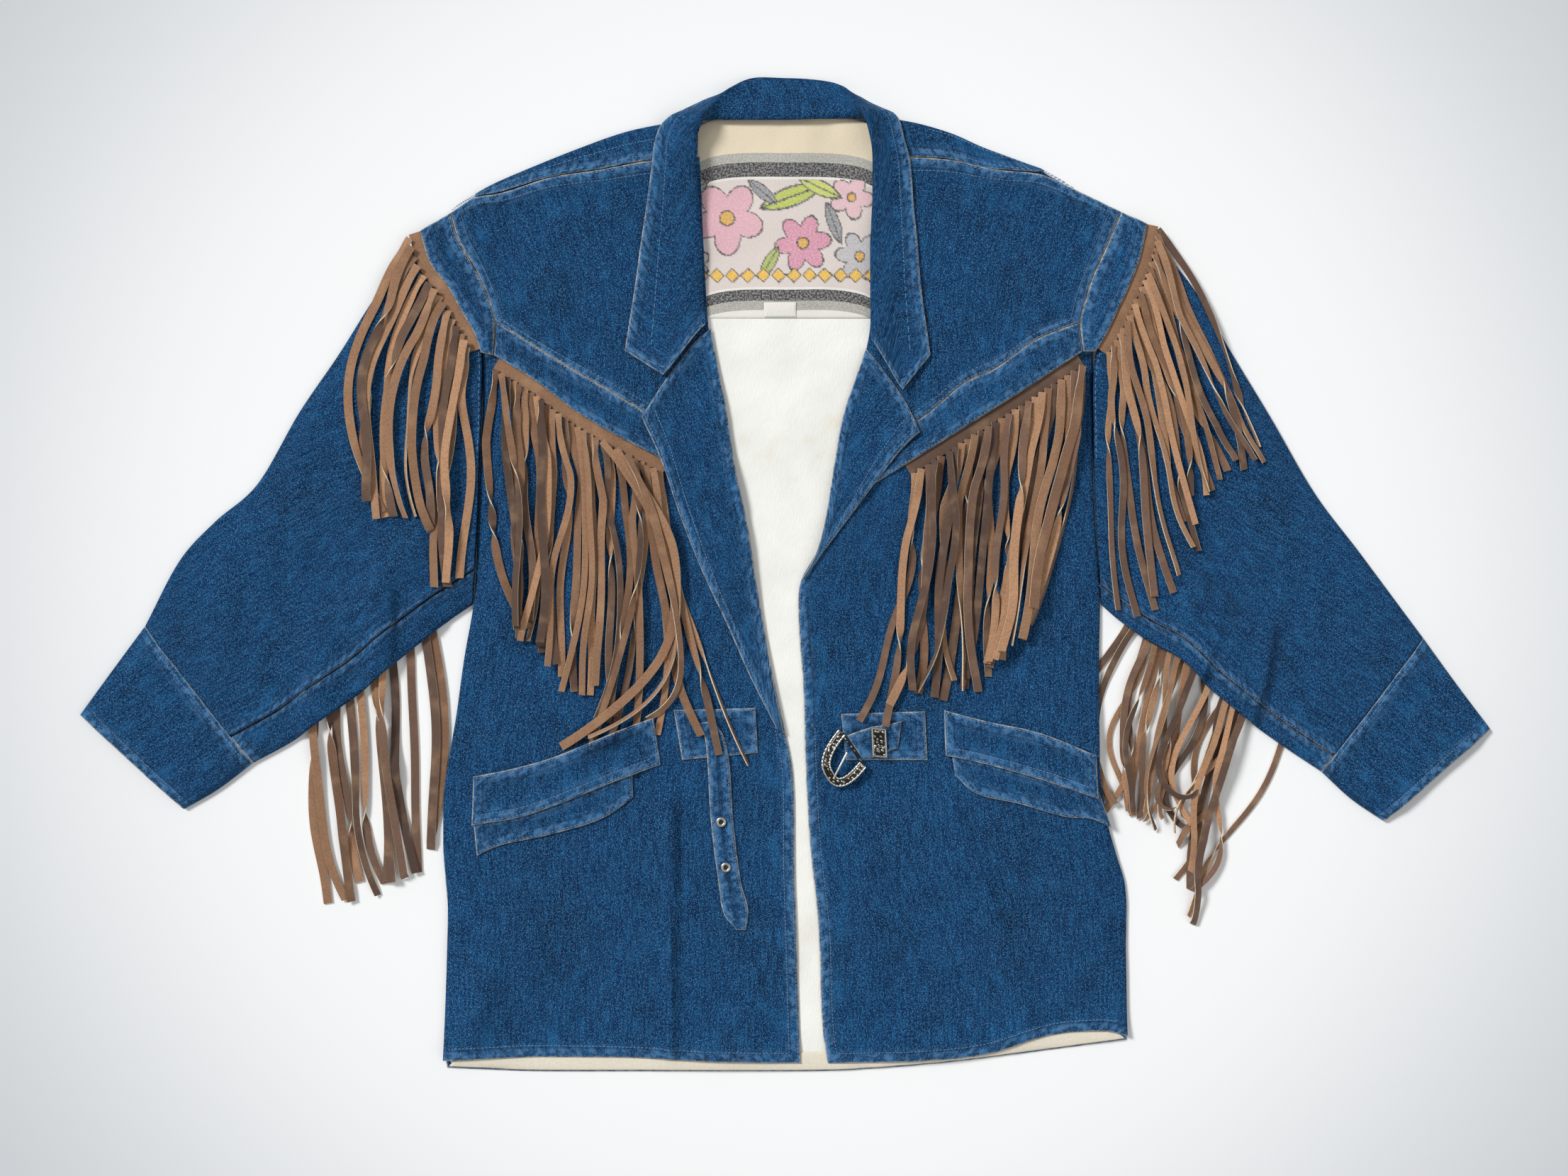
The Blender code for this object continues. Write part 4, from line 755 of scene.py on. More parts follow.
# %% Tables of the fringe and the belt
# Strands between two rows lie between them.
# Columns: part of the strip, x and y halfway down, x and y at the tip
GUIDES = {
    "shoulder_left": ((0.0, -369, 178, -355, 82), (0.12, -356, 172, -344, 58), (0.3, -338, 155, -334, 50),
                      (0.5, -316, 140, -312, 40), (0.65, -302, 128, -296, 36), (0.8, -288, 110, -296, -12),
                      (1.0, -267, 100, -271, 2)),
    "chest_left": ((0.0, -241, 60, -231, -48), (0.2, -218, 50, -216, -52), (0.4, -192, 35, -196, -72),
                   (0.55, -168, 15, -174, -104), (0.66, -148, 5, -160, -110), (0.76, -128, 0, -158, -138),
                   (0.84, -116, -5, -130, -130), (0.92, -98, -20, -62, -150), (1.0, -80, -25, -28, -166)),
    "shoulder_right": ((0.0, 368, 190, 402, 98), (0.15, 358, 172, 386, 92), (0.3, 344, 158, 366, 84),
                       (0.5, 325, 140, 346, 54), (0.7, 306, 118, 338, 14), (0.85, 292, 104, 306, -30),
                       (1.0, 268, 100, 272, -28)),
    "chest_right": ((0.0, 240, 70, 204, -30), (0.15, 218, 55, 198, -52), (0.3, 199, 45, 184, -68),
                    (0.5, 172, 25, 160, -88), (0.65, 150, 10, 140, -104), (0.8, 128, 0, 116, -100),
                    (0.9, 112, -15, 92, -110), (1.0, 94, -20, 60, -128)),
    "sleeve_left": ((0.0, -400, -190, -406, -299), (0.1, -393, -180, -376, -278),
                    (0.45, -352, -160, -346, -266), (0.75, -322, -130, -318, -250),
                    (1.0, -285, -100, -294, -228)),
    "sleeve_right": ((0.0, 393, -170, 342, -292), (0.12, 374, -170, 336, -262), (0.35, 344, -160, 332, -212),
                     (0.6, 314, -140, 304, -204), (1.0, 268, -90, 276, -200)),
}
SLEEVE_ROOT = {"left": edge((-404, -48), (-360, -20), (-312, 24)),
               "right": edge((404, -50), (360, -22), (312, 20))}
# Strands that cross the others: part of the strip, x and y halfway, x and y at the tip, width
STRAYS = {
    "chest_left": ((0.66, -94, -36, -190, -145, 7.5), (0.74, -88, -46, -166, -138, 7.5),
                   (0.80, -84, -44, -117, -123, 7.0)),
    "chest_right": ((0.01, 228, 72, 205, -28, 9.0),),
    "sleeve_right": ((0.02, 372, -214, 341, -294, 6.5), (0.4, 330, -150, 345, -190, 6.0)),
}
# Columns: fringe, side, the edge that its strip follows, the stretch of that edge, strands
STRIPS = (("shoulder", "left", "band_edge", 0.0, 0.97, 15), ("shoulder", "right", "band_edge", 0.0, 0.97, 21),
          ("chest", "left", "chest_edge", 0.02, 0.72, 28), ("chest", "right", "chest_edge", 0.02, 0.72, 26))
SLEEVE_STRANDS = {"left": 13, "right": 23}
STRIP = 15.0                      # uncut part of the fringe

# Straps.  Columns: x and y of the two edges
BELT_STRAP = ((-76, -126, -62, -124), (-69.5, -136, -54, -134), (-67, -154, -49, -152),
              (-64, -205, -45, -205), (-57, -262, -38, -260), (-52.5, -287, -32, -285),
              (-42, -300, -34, -300))
BUCKLE_STRAP = ((97, -124, 94, -147), (84, -127, 82, -151), (72, -129, 72, -155),
                (50.9, -135.8, 64.3, -156.6))
EYELETS = ((-55, -209), (-51, -247))
EYELET_SIZE = (8.7, 3.5)          # outer and inner diameter
BUCKLE_BAR = ((47, -134), (64, -160))
BUCKLE_DEPTH = 30.5
BUCKLE_SKEW = 8.5                 # how far the bow's tip lies towards the hem
KEEPER = (72, -130, 83, -153)
TONGUE = ((51, -150), (40, -171))
print("strands:", sum(row[-1] for row in STRIPS) + sum(SLEEVE_STRANDS.values()),
      "and", sum(len(rows) for rows in STRAYS.values()), "strays")

# %% [markdown]
# ## Panels
# A sewn panel is one thickness of cloth whose edges are turned in, so they look round and not
# cut.  A plane with a Solidify modifier would be quicker, but its rim would be square.  Here a
# grid from create_grid is bent to its place and extruded into a wall, with fine rows along the
# edges, so that it can round over there.

# %% Building a panel
SHEETS = {}       # name: parameters u and v of its grid, and its top surface


def steps_along(length, step, rim=RIM):
    """Parameters along an edge: fine rows at both ends and even ones between."""
    count = max(2, int(round((length - 2 * rim[-1]) / step)))
    middle = np.linspace(rim[-1], length - rim[-1], count + 1)
    return np.concatenate([rim[:-1], middle, length - np.array(rim[:-1])[::-1]]) / length


def put_grid(bm, bottom, top=None):
    """Adds a grid at the given points, thickened up to the top ones; marks each vertex's cell.

    Gives back its faces: those at the bottom, those on top and those round the rim.
    """
    across, along = bottom.shape[0] - 1, bottom.shape[1] - 1
    cell = bm.verts.layers.int.get("cell") or bm.verts.layers.int.new("cell")
    made = bmesh.ops.create_grid(bm, x_segments=across, y_segments=along, size=1.0)["verts"]
    flat = bottom.reshape(-1, 3) * MM
    for vert in made:
        i = round((vert.co.x + 1) / 2 * across)
        j = round((vert.co.y + 1) / 2 * along)
        vert[cell] = i * (along + 1) + j
        vert.co = flat[vert[cell]]
    low = list(dict.fromkeys(face for vert in made for face in vert.link_faces))
    if top is None:
        return low, [], []
    flat = top.reshape(-1, 3) * MM
    new = bmesh.ops.extrude_face_region(bm, geom=low)["geom"]
    for item in new:
        if isinstance(item, bmesh.types.BMVert):
            item.co = flat[item[cell]]
    high = [item for item in new if isinstance(item, bmesh.types.BMFace)]
    below = set(low)
    rim = list(dict.fromkeys(face for vert in made for face in vert.link_faces if face not in below))
    bmesh.ops.recalc_face_normals(bm, faces=low + high + rim)
    return low, high, rim


def finish_piece(name, bm, look, nodes, smooth_angle=50):
    """Makes the object, moves the tables' middle to the origin and ties it to the frame."""
    bmesh.ops.translate(bm, verts=bm.verts[:], vec=(-MIDDLE[0] * MM, -MIDDLE[1] * MM, 0.0))
    mesh = bpy.data.meshes.new(name)
    bm.to_mesh(mesh)
    bm.free()
    mesh.shade_smooth()
    mesh.set_sharp_from_angle(angle=math.radians(smooth_angle))
    mesh.materials.append(look)
    piece = bpy.data.objects.new(name, mesh)
    bpy.context.scene.collection.objects.link(piece)
    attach(piece, "root")
    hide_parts(*nodes)
    print(name, len(mesh.polygons), "faces")
    return piece


def cells_of(piece):
    """The cell of its grid that each vertex came from."""
    cells = np.zeros(len(piece.data.vertices), dtype=np.int32)
    piece.data.attributes["cell"].data.foreach_get("value", cells)
    return cells


def mark_cloth(piece, places, edges):
    """Writes the two attributes that the cloth patterns read, from the cell of each vertex."""
    mesh = piece.data
    cells = cells_of(piece)
    where = np.zeros((len(cells), 3))
    where[:, :2] = places.reshape(-1, 2)[cells] * MM
    mesh.attributes.new("cloth", "FLOAT_VECTOR", "POINT").data.foreach_set("vector", where.ravel())
    mesh.attributes.new("edges", "FLOAT_COLOR", "POINT").data.foreach_set(
        "color", edges.reshape(-1, 4)[cells].astype(np.float32).ravel())


def lengths_of(points):
    """Where each crossing lies on the flat cloth: mean distances along and across the grid."""
    across = np.linalg.norm(np.diff(points, axis=0), axis=-1)
    down = np.linalg.norm(np.diff(points, axis=1), axis=-1)
    x = np.concatenate([np.zeros((1, points.shape[1])), np.cumsum(across, axis=0)])
    y = np.concatenate([np.zeros((points.shape[0], 1)), np.cumsum(down, axis=1)], axis=1)
    return x, y


def edge_distances(x, y, worn):
    """Distances in mm from the left, right, top and bottom edges; an edge that isn't worn is far."""
    far = 400.0
    ways = [x, x[-1:] - x, y, y[:, -1:] - y]
    return np.stack([way if mark else np.full(x.shape, far) for way, mark in zip(ways, worn)], axis=-1)


# %% [markdown]
# ## Laying one panel
# A real panel keeps still along its seams and is loose in its middle, and the cloth that is
# turned in makes a low ridge beside each edge.  Both come from one number: how far a point is
# from the nearest edge.

# %% Laying one panel
EDGE_SHARE = 0.35          # how much of its rumples the cloth keeps along a seam
FREE = 12.0                # distance from an edge at which it has all of them
TURN_IN = (4.5, 3.0, 0.45)  # ridge of the cloth that is turned in: distance, width, height


def state_cut(piece):
    """Reads the area of each of a piece's faces; the areas are not kept."""
    areas = np.zeros(len(piece.data.polygons))
    piece.data.polygons.foreach_get("area", areas)


def lay(name, place, nodes, look=None, wall=DENIM, step=STEP, folds=(), reach=None,
        rounds=10, worn=(1, 1, 1, 1), loose=1.0):
    """Lays one panel on the heap.  worn: which of its left, right, top and bottom edges are faded."""
    coarse = np.linspace(0, 1, 9)
    x, y = lengths_of(place(*np.meshgrid(coarse, coarse, indexing="ij")))
    u, v = steps_along(x[-1].mean(), step), steps_along(y[:, -1].mean(), step)
    xy = place(*np.meshgrid(u, v, indexing="ij"))
    x, y = lengths_of(xy)
    near = np.minimum(np.minimum(x, x[-1:] - x), np.minimum(y, y[:, -1:] - y))
    z = drape(HEAP.seat(xy, step * 0.5 + 1.0 if reach is None else reach), rounds)
    free = EDGE_SHARE + (1 - EDGE_SHARE) * np.clip(near / FREE, 0, 1)
    z = np.maximum(z + (raise_folds(xy, folds) + loose * rumples(xy)) * free, 0.0)
    rounded = wall * np.clip(1 - near / RIM[-1], 0, 1) ** 2 * 0.8
    away, width, height = TURN_IN
    ridge = height * np.exp(-((near - away) / width) ** 2) * (wall >= DENIM)
    top = np.dstack([xy, z + wall - rounded + ridge])
    bm = bmesh.new()
    put_grid(bm, np.dstack([xy, z]), top)
    piece = finish_piece(name, bm, look or DENIM_CLOTH, nodes)
    mark_cloth(piece, np.dstack([x, y]), edge_distances(x, y, worn))
    state_cut(piece)
    HEAP.add(top)
    SHEETS[name] = (u, v, top)
    return piece


# %% [markdown]
# ## Topstitching
# Every seam is sewn down with a pale thread, in stitches of about three millimetres.  A bump
# pattern would do from afar, but close by each stitch is a small ridge that casts a shadow.
# There are thousands, so one is shaped from a cube, and its copies are put end to end.

# %% Stitches
ROWS = []         # every stitch: two ends


def sample(name, u, v):
    """A point of a laid panel's top surface, anywhere on it."""
    us, vs, top = SHEETS[name]
    i = np.clip(np.interp(u, us, np.arange(len(us))), 0, len(us) - 1.001)
    j = np.clip(np.interp(v, vs, np.arange(len(vs))), 0, len(vs) - 1.001)
    i0, j0 = i.astype(int), j.astype(int)
    p, q = (i - i0)[:, None], (j - j0)[:, None]
    return ((top[i0, j0] * (1 - p) + top[i0 + 1, j0] * p) * (1 - q)
            + (top[i0, j0 + 1] * (1 - p) + top[i0 + 1, j0 + 1] * p) * q)


def stitch(name, side, insets, start=0.0, end=1.0, pitch=3.3):
    """Rows of topstitching along one edge of a panel, at distances from it in mm."""
    us, vs, top = SHEETS[name]
    wide = np.linalg.norm(np.diff(top[:, len(vs) // 2], axis=0), axis=-1).sum()
    tall = np.linalg.norm(np.diff(top[len(us) // 2], axis=0), axis=-1).sum()
    level = side in ("top", "bottom")
    length, depth = (wide, tall) if level else (tall, wide)
    for inset in insets:
        count = int(length * (end - start) / pitch)
        t = start + (end - start) * (np.arange(count)[:, None] + [0.12, 0.80]) / count
        t = inset / length + t * (1 - 2 * inset / length)
        row = np.full(t.shape, inset / depth if side in ("top", "left") else 1 - inset / depth)
        u, v = (t, row) if level else (row, t)
        ROWS.append(sample(name, u.ravel(), v.ravel()).reshape(-1, 2, 3))


def build_stitches(name, width=0.62, height=0.30, sunk=0.10):
    """All the thread that shows: one stitch is shaped, and a copy is laid at every place."""
    ends = np.concatenate(ROWS)
    start, end = ends[:, 0], ends[:, 1]
    along = end - start
    side = np.stack([-along[:, 1], along[:, 0], np.zeros(len(along))], axis=-1)
    side *= width / np.linalg.norm(side, axis=-1, keepdims=True)
    one = bmesh.new()
    bmesh.ops.create_cube(one, size=1.0)
    crown = [vert for vert in one.verts if vert.co.z > 0]
    bmesh.ops.scale(one, verts=crown, vec=(0.6, 0.3, 1.0))
    bmesh.ops.translate(one, verts=one.verts[:], vec=(0.0, 0.0, 0.5))
    shape = np.array([vert.co for vert in one.verts])
    pattern = bpy.data.meshes.new("one stitch")
    one.to_mesh(pattern)
    one.free()
    bm = bmesh.new()
    for _ in ends:
        bm.from_mesh(pattern)
    bpy.data.meshes.remove(pattern)
    up = np.array([0.0, 0.0, height + sunk])
    places = ((start + end)[:, None] / 2 + along[:, None] * shape[:, :1] + side[:, None] * shape[:, 1:2]
              + up * shape[:, 2:] - (0.0, 0.0, sunk))
    for vert, place in zip(bm.verts, places.reshape(-1, 3) * MM):
        vert.co = place
    print(name, len(ends), "stitches")
    return finish_piece(name, bm, THREAD, [], 80)

# %% [markdown]
# ## Fringe: one strand
# A strand is a flat ribbon of suede that hangs down, twists once or twice and shows its dark
# back there.  A curve with a flat profile could be tilted, but it would not know what lies
# beneath.  Here each strand is a narrow grid, laid point by point over the heap, and its angle
# about its own length is a soft step wherever it turns over.

# %% One strand
def ribbon(bm, layers, line, across, thick, skin_turn, shade):
    """Adds one twisted ribbon with a face, a flesh side and cut edges all round."""
    along = np.gradient(line, axis=0)
    along /= np.linalg.norm(along, axis=-1, keepdims=True)
    normal = np.cross(along, across)
    normal /= np.linalg.norm(normal, axis=-1, keepdims=True)
    sides = np.stack([line - across, line + across], axis=1)
    lift = normal[:, None] * thick / 2
    skin, tone = layers
    skins = (1.0, 0.0, 0.5) if skin_turn else (0.0, 1.0, 0.5)
    for faces, value in zip(put_grid(bm, sides - lift, sides + lift), skins):
        for face in faces:
            face[skin] = value
            face[tone] = shade


def twist_of(s):
    """Angle of a strand's width about its length: it turns over at one or two places."""
    turn = math.radians(DICE.choice((20.0, 35.0, 50.0))) * DICE.choice((-1, 1))
    lean = math.radians(DICE.uniform(-32.0, 32.0))
    angle = turn * np.exp(-((s - 0.05) / 0.05) ** 2) + lean * np.clip(s * 6, 0, 1)
    for _ in range(int(DICE.choice((0, 1, 1, 2)))):
        place = DICE.uniform(0.2, 0.85)
        turn = math.radians(DICE.choice((-180.0, 180.0, 50.0, -50.0)))
        angle = angle + turn / (1 + np.exp(-(s - place) / 0.035))
    return angle


def settle_line(xy, half, thick, tilt):
    """Heights of a strand's middle: over all that lies beneath, with the sharp steps rounded."""
    below = HEAP.height(xy, half * 0.7 + 0.5)
    z = below.copy()
    for _ in range(14):
        z = np.maximum(below, (np.roll(z, 1) + np.roll(z, -1)) / 2)
        z[0], z[-1] = below[0], below[-1]
    return z + AIR + thick / 2 + tilt


def strand_path(start, middle, tip, droop):
    """A strand's way over the floor and the direction of its width: a bow with small waves."""
    reach = np.linalg.norm(middle - start) + np.linalg.norm(tip - middle)
    s = np.linspace(0.0, 1.0, max(20, int(reach / 3.6)))[:, None]
    control = 2 * middle - (start + tip) / 2
    xy = (1 - s) ** 2 * start + 2 * s * (1 - s) * control + s**2 * tip
    along = np.gradient(xy, axis=0)
    along /= np.linalg.norm(along, axis=-1, keepdims=True)
    sideways = np.stack([-along[:, 1], along[:, 0]], axis=-1)
    waves = sum(DICE.normal(0.0, droop / n) * np.sin(math.pi * n * s + DICE.uniform(0, 0.6))
                for n in (1, 2, 3, 4))
    still = np.sin(math.pi * np.clip(s * 1.6, 0, 0.5)) * np.clip(s * 4, 0, 1)
    return s[:, 0], xy + sideways * waves * still, sideways


def lay_strand(bm, layers, path, width, pitch, dark):
    """Twists one strand, settles it on the heap and adds its ribbon."""
    s, xy, sideways = path
    angle = twist_of(s)
    half = np.minimum(width, pitch * (0.92 + s * 2.5)) / 2
    z = settle_line(xy, width / 2, SUEDE, np.abs(np.sin(angle)) * half * 0.45)
    line = np.column_stack([xy, z])
    along = np.gradient(line, axis=0)
    along /= np.linalg.norm(along, axis=-1, keepdims=True)
    flat = np.column_stack([sideways, np.zeros(len(sideways))])
    up = np.cross(flat, along) * 0.5
    across = (flat * np.cos(angle)[:, None] + up * np.sin(angle)[:, None]) * half[:, None]
    shade = float(np.clip(DICE.normal(0.5, 0.28), 0, 1))
    over = DICE.random() < (0.58 if dark else 0.12)
    ribbon(bm, layers, line, across, SUEDE, not over, shade)
    HEAP.add(np.stack([line - across * 0.9, line + across * 0.9], axis=1) + (0, 0, SUEDE * 0.4))
    HEAP.settle()


# %% [markdown]
# ## Fringe: strips of strands
# In a real fringe the strands leave the uncut strip side by side, and then cross and cover each
# other.  A hair system would give too many strands that all look alike.  Here they are laid one
# after another in a random order, each at its guide but a little off, so neighbours overlap.

# %% Strips of strands
WIDEST = 7.4          # mm, widest strand that isn't a stray


def plan_strands(kind, side, count, pitch):
    """Part of the strip, middle, tip and width of each strand, in the order of laying."""
    guides = np.array(GUIDES[kind + "_" + side], float).T
    middles = (np.arange(count) + 0.5) / count
    strands = []
    for m in middles[DICE.permutation(count)]:
        middle = np.array([smooth(guides[0], guides[1], m), smooth(guides[0], guides[2], m)])
        tip = np.array([smooth(guides[0], guides[3], m), smooth(guides[0], guides[4], m)])
        middle = middle + DICE.normal(0.0, 3.5, 2)
        tip = tip + DICE.normal(0.0, 5.0, 2) + (tip - middle) * DICE.normal(0.0, 0.04)
        strands.append((m, middle, tip, min(pitch * DICE.uniform(0.9, 1.2), WIDEST)))
    for m, x, y, end_x, end_y, width in STRAYS.get(kind + "_" + side, ()):
        strands.append((m, np.array([x, y]), np.array([end_x, end_y]), width))
    return strands


def build_fringe(kind, side, root, inward, count, droop, dark):
    """The uncut strip and its strands, in an order that lets neighbours overlap."""
    name = "fringe_" + kind + "_" + side
    bm = bmesh.new()
    layers = bm.faces.layers.float.new("skin"), bm.faces.layers.float.new("shade")
    t = np.linspace(0, 1, 70)
    outer, inner = root(t), beside(root, inward * STRIP)(t)
    rows = np.linspace(0, 1, 6)[None, :, None]
    strip = outer[:, None] * (1 - rows) + inner[:, None] * rows
    strip = np.dstack([strip, drape(HEAP.seat(strip, 3.0), 30) + 0.1])
    put_grid(bm, strip, strip + (0.0, 0.0, SUEDE))
    for face in bm.faces:
        face[layers[0]] = 1.0 if dark else 0.0
        face[layers[1]] = 0.35
    HEAP.add(strip + (0.0, 0.0, SUEDE))
    HEAP.settle()
    pitch = long(root) / count
    for m, middle, tip, width in plan_strands(kind, side, count, pitch):
        lay_strand(bm, layers, strand_path(root(m), middle, tip, droop), width, pitch, dark)
    bmesh.ops.recalc_face_normals(bm, faces=bm.faces[:])
    return finish_piece(name, bm, SUEDE_LEATHER, [name], 40)

# %% [markdown]
# ## Sleeves and cuffs
# A sleeve is a tube that lies flat: over the top, round the outer fold and back beneath.  Two
# separate panels would leave a slit along the fold.  So one grid is wrapped round, with stations
# that say how far across it is and at which level, and a Solidify modifier gives it its wall.

# %% Tubes
TURNS = (62, 32, 0, -32, -62)      # degrees round a fold at which a station lies


def blend_stations(first, last, count):
    """Stations spread evenly between two; a station is a part of the width, a distance and a level."""
    return [tuple(np.array(first) * (1 - f) + np.array(last) * f) for f in np.linspace(0, 1, count)]


def fold_stations(fold):
    """Stations that round a fold, from the top face to the one beneath."""
    radius = SLEEVE_EDGE / 2
    inward = 1 - 2 * fold
    return [(fold, inward * radius * (1 - math.cos(a)), 0.5 + 0.5 * math.sin(a))
            for a in np.radians(TURNS)]


def tube(rows, lengthwise, stations, armhole=None, folds=()):
    """Outer surface of a flattened sleeve; the same stations as the part, at a finer scale."""
    rows = np.array(rows, float)
    keys = np.linspace(0.0, 1.0, len(rows))
    outer = np.stack([smooth(keys, rows[:, 0], lengthwise), smooth(keys, rows[:, 1], lengthwise)], axis=-1)
    lower = np.stack([smooth(keys, rows[:, 2], lengthwise), smooth(keys, rows[:, 3], lengthwise)], axis=-1)
    wide = np.linalg.norm(lower - outer, axis=-1)[:, None]
    part, distance, level = np.array(stations, float).T
    t = part + distance / wide
    xy = outer[:, None] + (lower - outer)[:, None] * t[..., None]
    if armhole is not None:
        straight = rows[0, :2] + (rows[0, 2:] - rows[0, :2]) * t[..., None]
        xy = xy + (armhole(np.clip(t, 0, 1)) - straight) * ((1.0 - lengthwise) ** 2)[:, None, None]
    below = np.maximum(drape(HEAP.seat(xy, 4.0), 8), 0.0)
    away = np.clip(np.minimum(t, 1 - t) * wide, 0.0, None)
    puff = SLEEVE_PUFF * np.sin(np.pi * np.clip(t, 0.03, 0.97)) ** 0.7
    soft = (0.9 * rumples(xy) + raise_folds(xy, folds)) * np.clip(away / 18, 0, 1)
    height = SLEEVE_EDGE + np.where(level > 0.99, puff + soft, 0.0)
    return np.dstack([xy, below + height * level])


def face_up(bm):
    """Turns an open sheet so that its highest face looks up."""
    bm.normal_update()
    highest = max(bm.faces, key=lambda face: face.calc_center_median().z)
    if highest.normal.z < 0:
        bmesh.ops.reverse_faces(bm, faces=bm.faces[:])


def add_wall(piece, wall, offset=-1.0):
    """Solidify: -1 keeps the outer surface in place, 0 keeps the middle of the wall."""
    solidify = piece.modifiers.new("wall", "SOLIDIFY")
    solidify.thickness = wall * MM
    solidify.offset = offset


def build_tube(name, points, over, worn, closed=False):
    """Makes a tube's mesh; 'over' counts the stations on its top face, which get the stitches."""
    bm = bmesh.new()
    put_grid(bm, points)
    if closed:
        bmesh.ops.remove_doubles(bm, verts=bm.verts[:], dist=0.00001)
    face_up(bm)
    piece = finish_piece(name, bm, DENIM_CLOTH, [name])
    x, y = lengths_of(points)
    mark_cloth(piece, np.dstack([y, x]), edge_distances(x, y, worn))
    add_wall(piece, DENIM)
    state_cut(piece)
    top = points[:, :over]
    across = np.linalg.norm(np.diff(top, axis=1), axis=-1).mean(axis=0)
    v = np.concatenate([[0.0], np.cumsum(across)])
    SHEETS[name] = (np.linspace(0, 1, len(points)), v / v[-1], top)
    return top


# %% Sleeves and cuffs
def build_sleeve(side):
    """Two-piece sleeve: its under-sleeve wraps the lower fold."""
    shows, fold_in, armhole = UNDER_SHOWS[side], SLEEVE_EDGE / 2, SIDES[side]["armhole"]
    lengthwise = np.linspace(0.001, 0.999, 118)
    seam = [(1, -shows - 0.3, 0.83), (1, -shows - 0.8, 0.95)]
    over = seam + blend_stations((1, -shows - 1.8, 1), (0, fold_in, 1), 62)
    beneath = blend_stations((0, fold_in, 0), (1, -UNDER_BENEATH - 0.4, 0), 14)
    upper = tube(SLEEVES[side], lengthwise, over + fold_stations(0) + beneath, armhole, SLEEVE_FOLDS[side])
    tops = [build_tube("sleeve_top_" + side, upper, len(over), (0, 0, 1, 0))]
    over = [(1, -shows + 0.2, 0.80), (1, -shows + 0.7, 0.93)]
    over += blend_stations((1, -shows + 1.6, 1), (1, -fold_in, 1), 8)
    beneath = blend_stations((1, -fold_in, 0), (1, -UNDER_BENEATH, 0), 10)
    under = tube(SLEEVES[side], lengthwise, over + fold_stations(1) + beneath, armhole)
    tops.append(build_tube("sleeve_under_" + side, under, len(over), (0, 1, 1, 0)))
    return tops


def build_cuff(side):
    """A flat tube that is open at both ends."""
    fold_in = SLEEVE_EDGE / 2
    lengthwise = np.concatenate([[0.0, 0.012], np.linspace(0.03, 0.985, 22), [1.0]])
    over = blend_stations((1, -fold_in, 1), (0, fold_in, 1), 44)
    beneath = blend_stations((0, fold_in, 0), (1, -fold_in, 0), 24)
    stations = over + fold_stations(0) + beneath + fold_stations(1)[::-1] + over[:1]
    points = tube(CUFFS[side], lengthwise, stations)
    ends = np.array([0.6, 0.15] + [0.0] * 22 + [0.5])
    points[:, :len(over), 2] -= ends[:, None]
    return [build_tube("cuff_" + side, points, len(over), (1, 1, 0, 0), closed=True)]

# %% [markdown]
# ## Back
# The back is hidden but for a thin line at the hem and the shoulders, which come over to the
# front by up to three centimetres and are sewn to the front yokes there.  The panel lies flat on
# the floor.  The yoke is one grid in three parts, flat, round the fold and down on the front, so
# that the fold is soft and closed.

# %% Back
def build_back():
    """The plain panel on the floor, under everything else."""
    left, right = SIDES["left"]["side"], SIDES["right"]["side"]
    low = YOKE_LOW - 0.5
    top = edge((-256, low), (257, low))
    hem = edge((-287, -418), (-202, -421), (12, -421), (121, -415), (213, -404), (288, -394))
    left = edge(*[(x, min(y, low)) for x, y in left(np.linspace(0.0, 0.985, 12))], (-287, -418))
    right = edge(*[(x, min(y, low)) for x, y in right(np.linspace(0.0, 0.985, 12))], (288, -394))
    lay("back", plan(top, hem, left, right), ["back"], step=7.0, reach=0.0, rounds=0, loose=0.0)


# %% Back yoke
RETURN_ROWS = {"left": (10, 70), "right": (121, 169)}      # rows of the grid that get stitches


def yoke_points():
    """The yoke's surface, the part of it that comes over, and the parameters of that part."""
    rows = np.array(SHOULDERS, float)
    keys = np.linspace(0, 1, len(rows))
    at = np.linspace(0, 1, 190)
    fold = np.stack([smooth(keys, rows[:, 0], at), smooth(keys, rows[:, 1], at)], axis=-1)
    drop = np.stack([np.zeros(len(at)), smooth(keys, rows[:, 2], at)], axis=-1)
    seam = np.stack([-255 + 510 * at, np.full(len(at), YOKE_LOW)], axis=-1)
    parts = np.linspace(0.0, 1.0, 18)[None, :, None]
    flat = seam[:, None] * (1 - parts) + (fold - (0.0, 2.0))[:, None] * parts
    flat = np.dstack([flat, np.zeros(flat.shape[:2])])
    parts = np.concatenate([[0.07], np.linspace(0.2, 0.93, 8), [0.98, 1.0]])[None, :, None]
    back = fold[:, None] * (1 - parts) + (fold - drop)[:, None] * parts
    top = drape(HEAP.seat(back, 4.0), 12) + DENIM + 0.6 * rumples(back)
    top[:, -1] -= 0.7
    top[:, -2] -= 0.15
    half = top[:, :1] / 2
    turn = np.radians((-60, -30, 0, 30, 60))[None, :]
    bend = np.dstack([np.repeat(fold[:, :1], 5, axis=1), fold[:, 1:] + 2.0 * (np.cos(turn) - 1),
                      half + half * np.sin(turn)])
    over = np.dstack([back, top])
    return np.concatenate([flat, bend, over], axis=1), over, parts[0, :, 0]


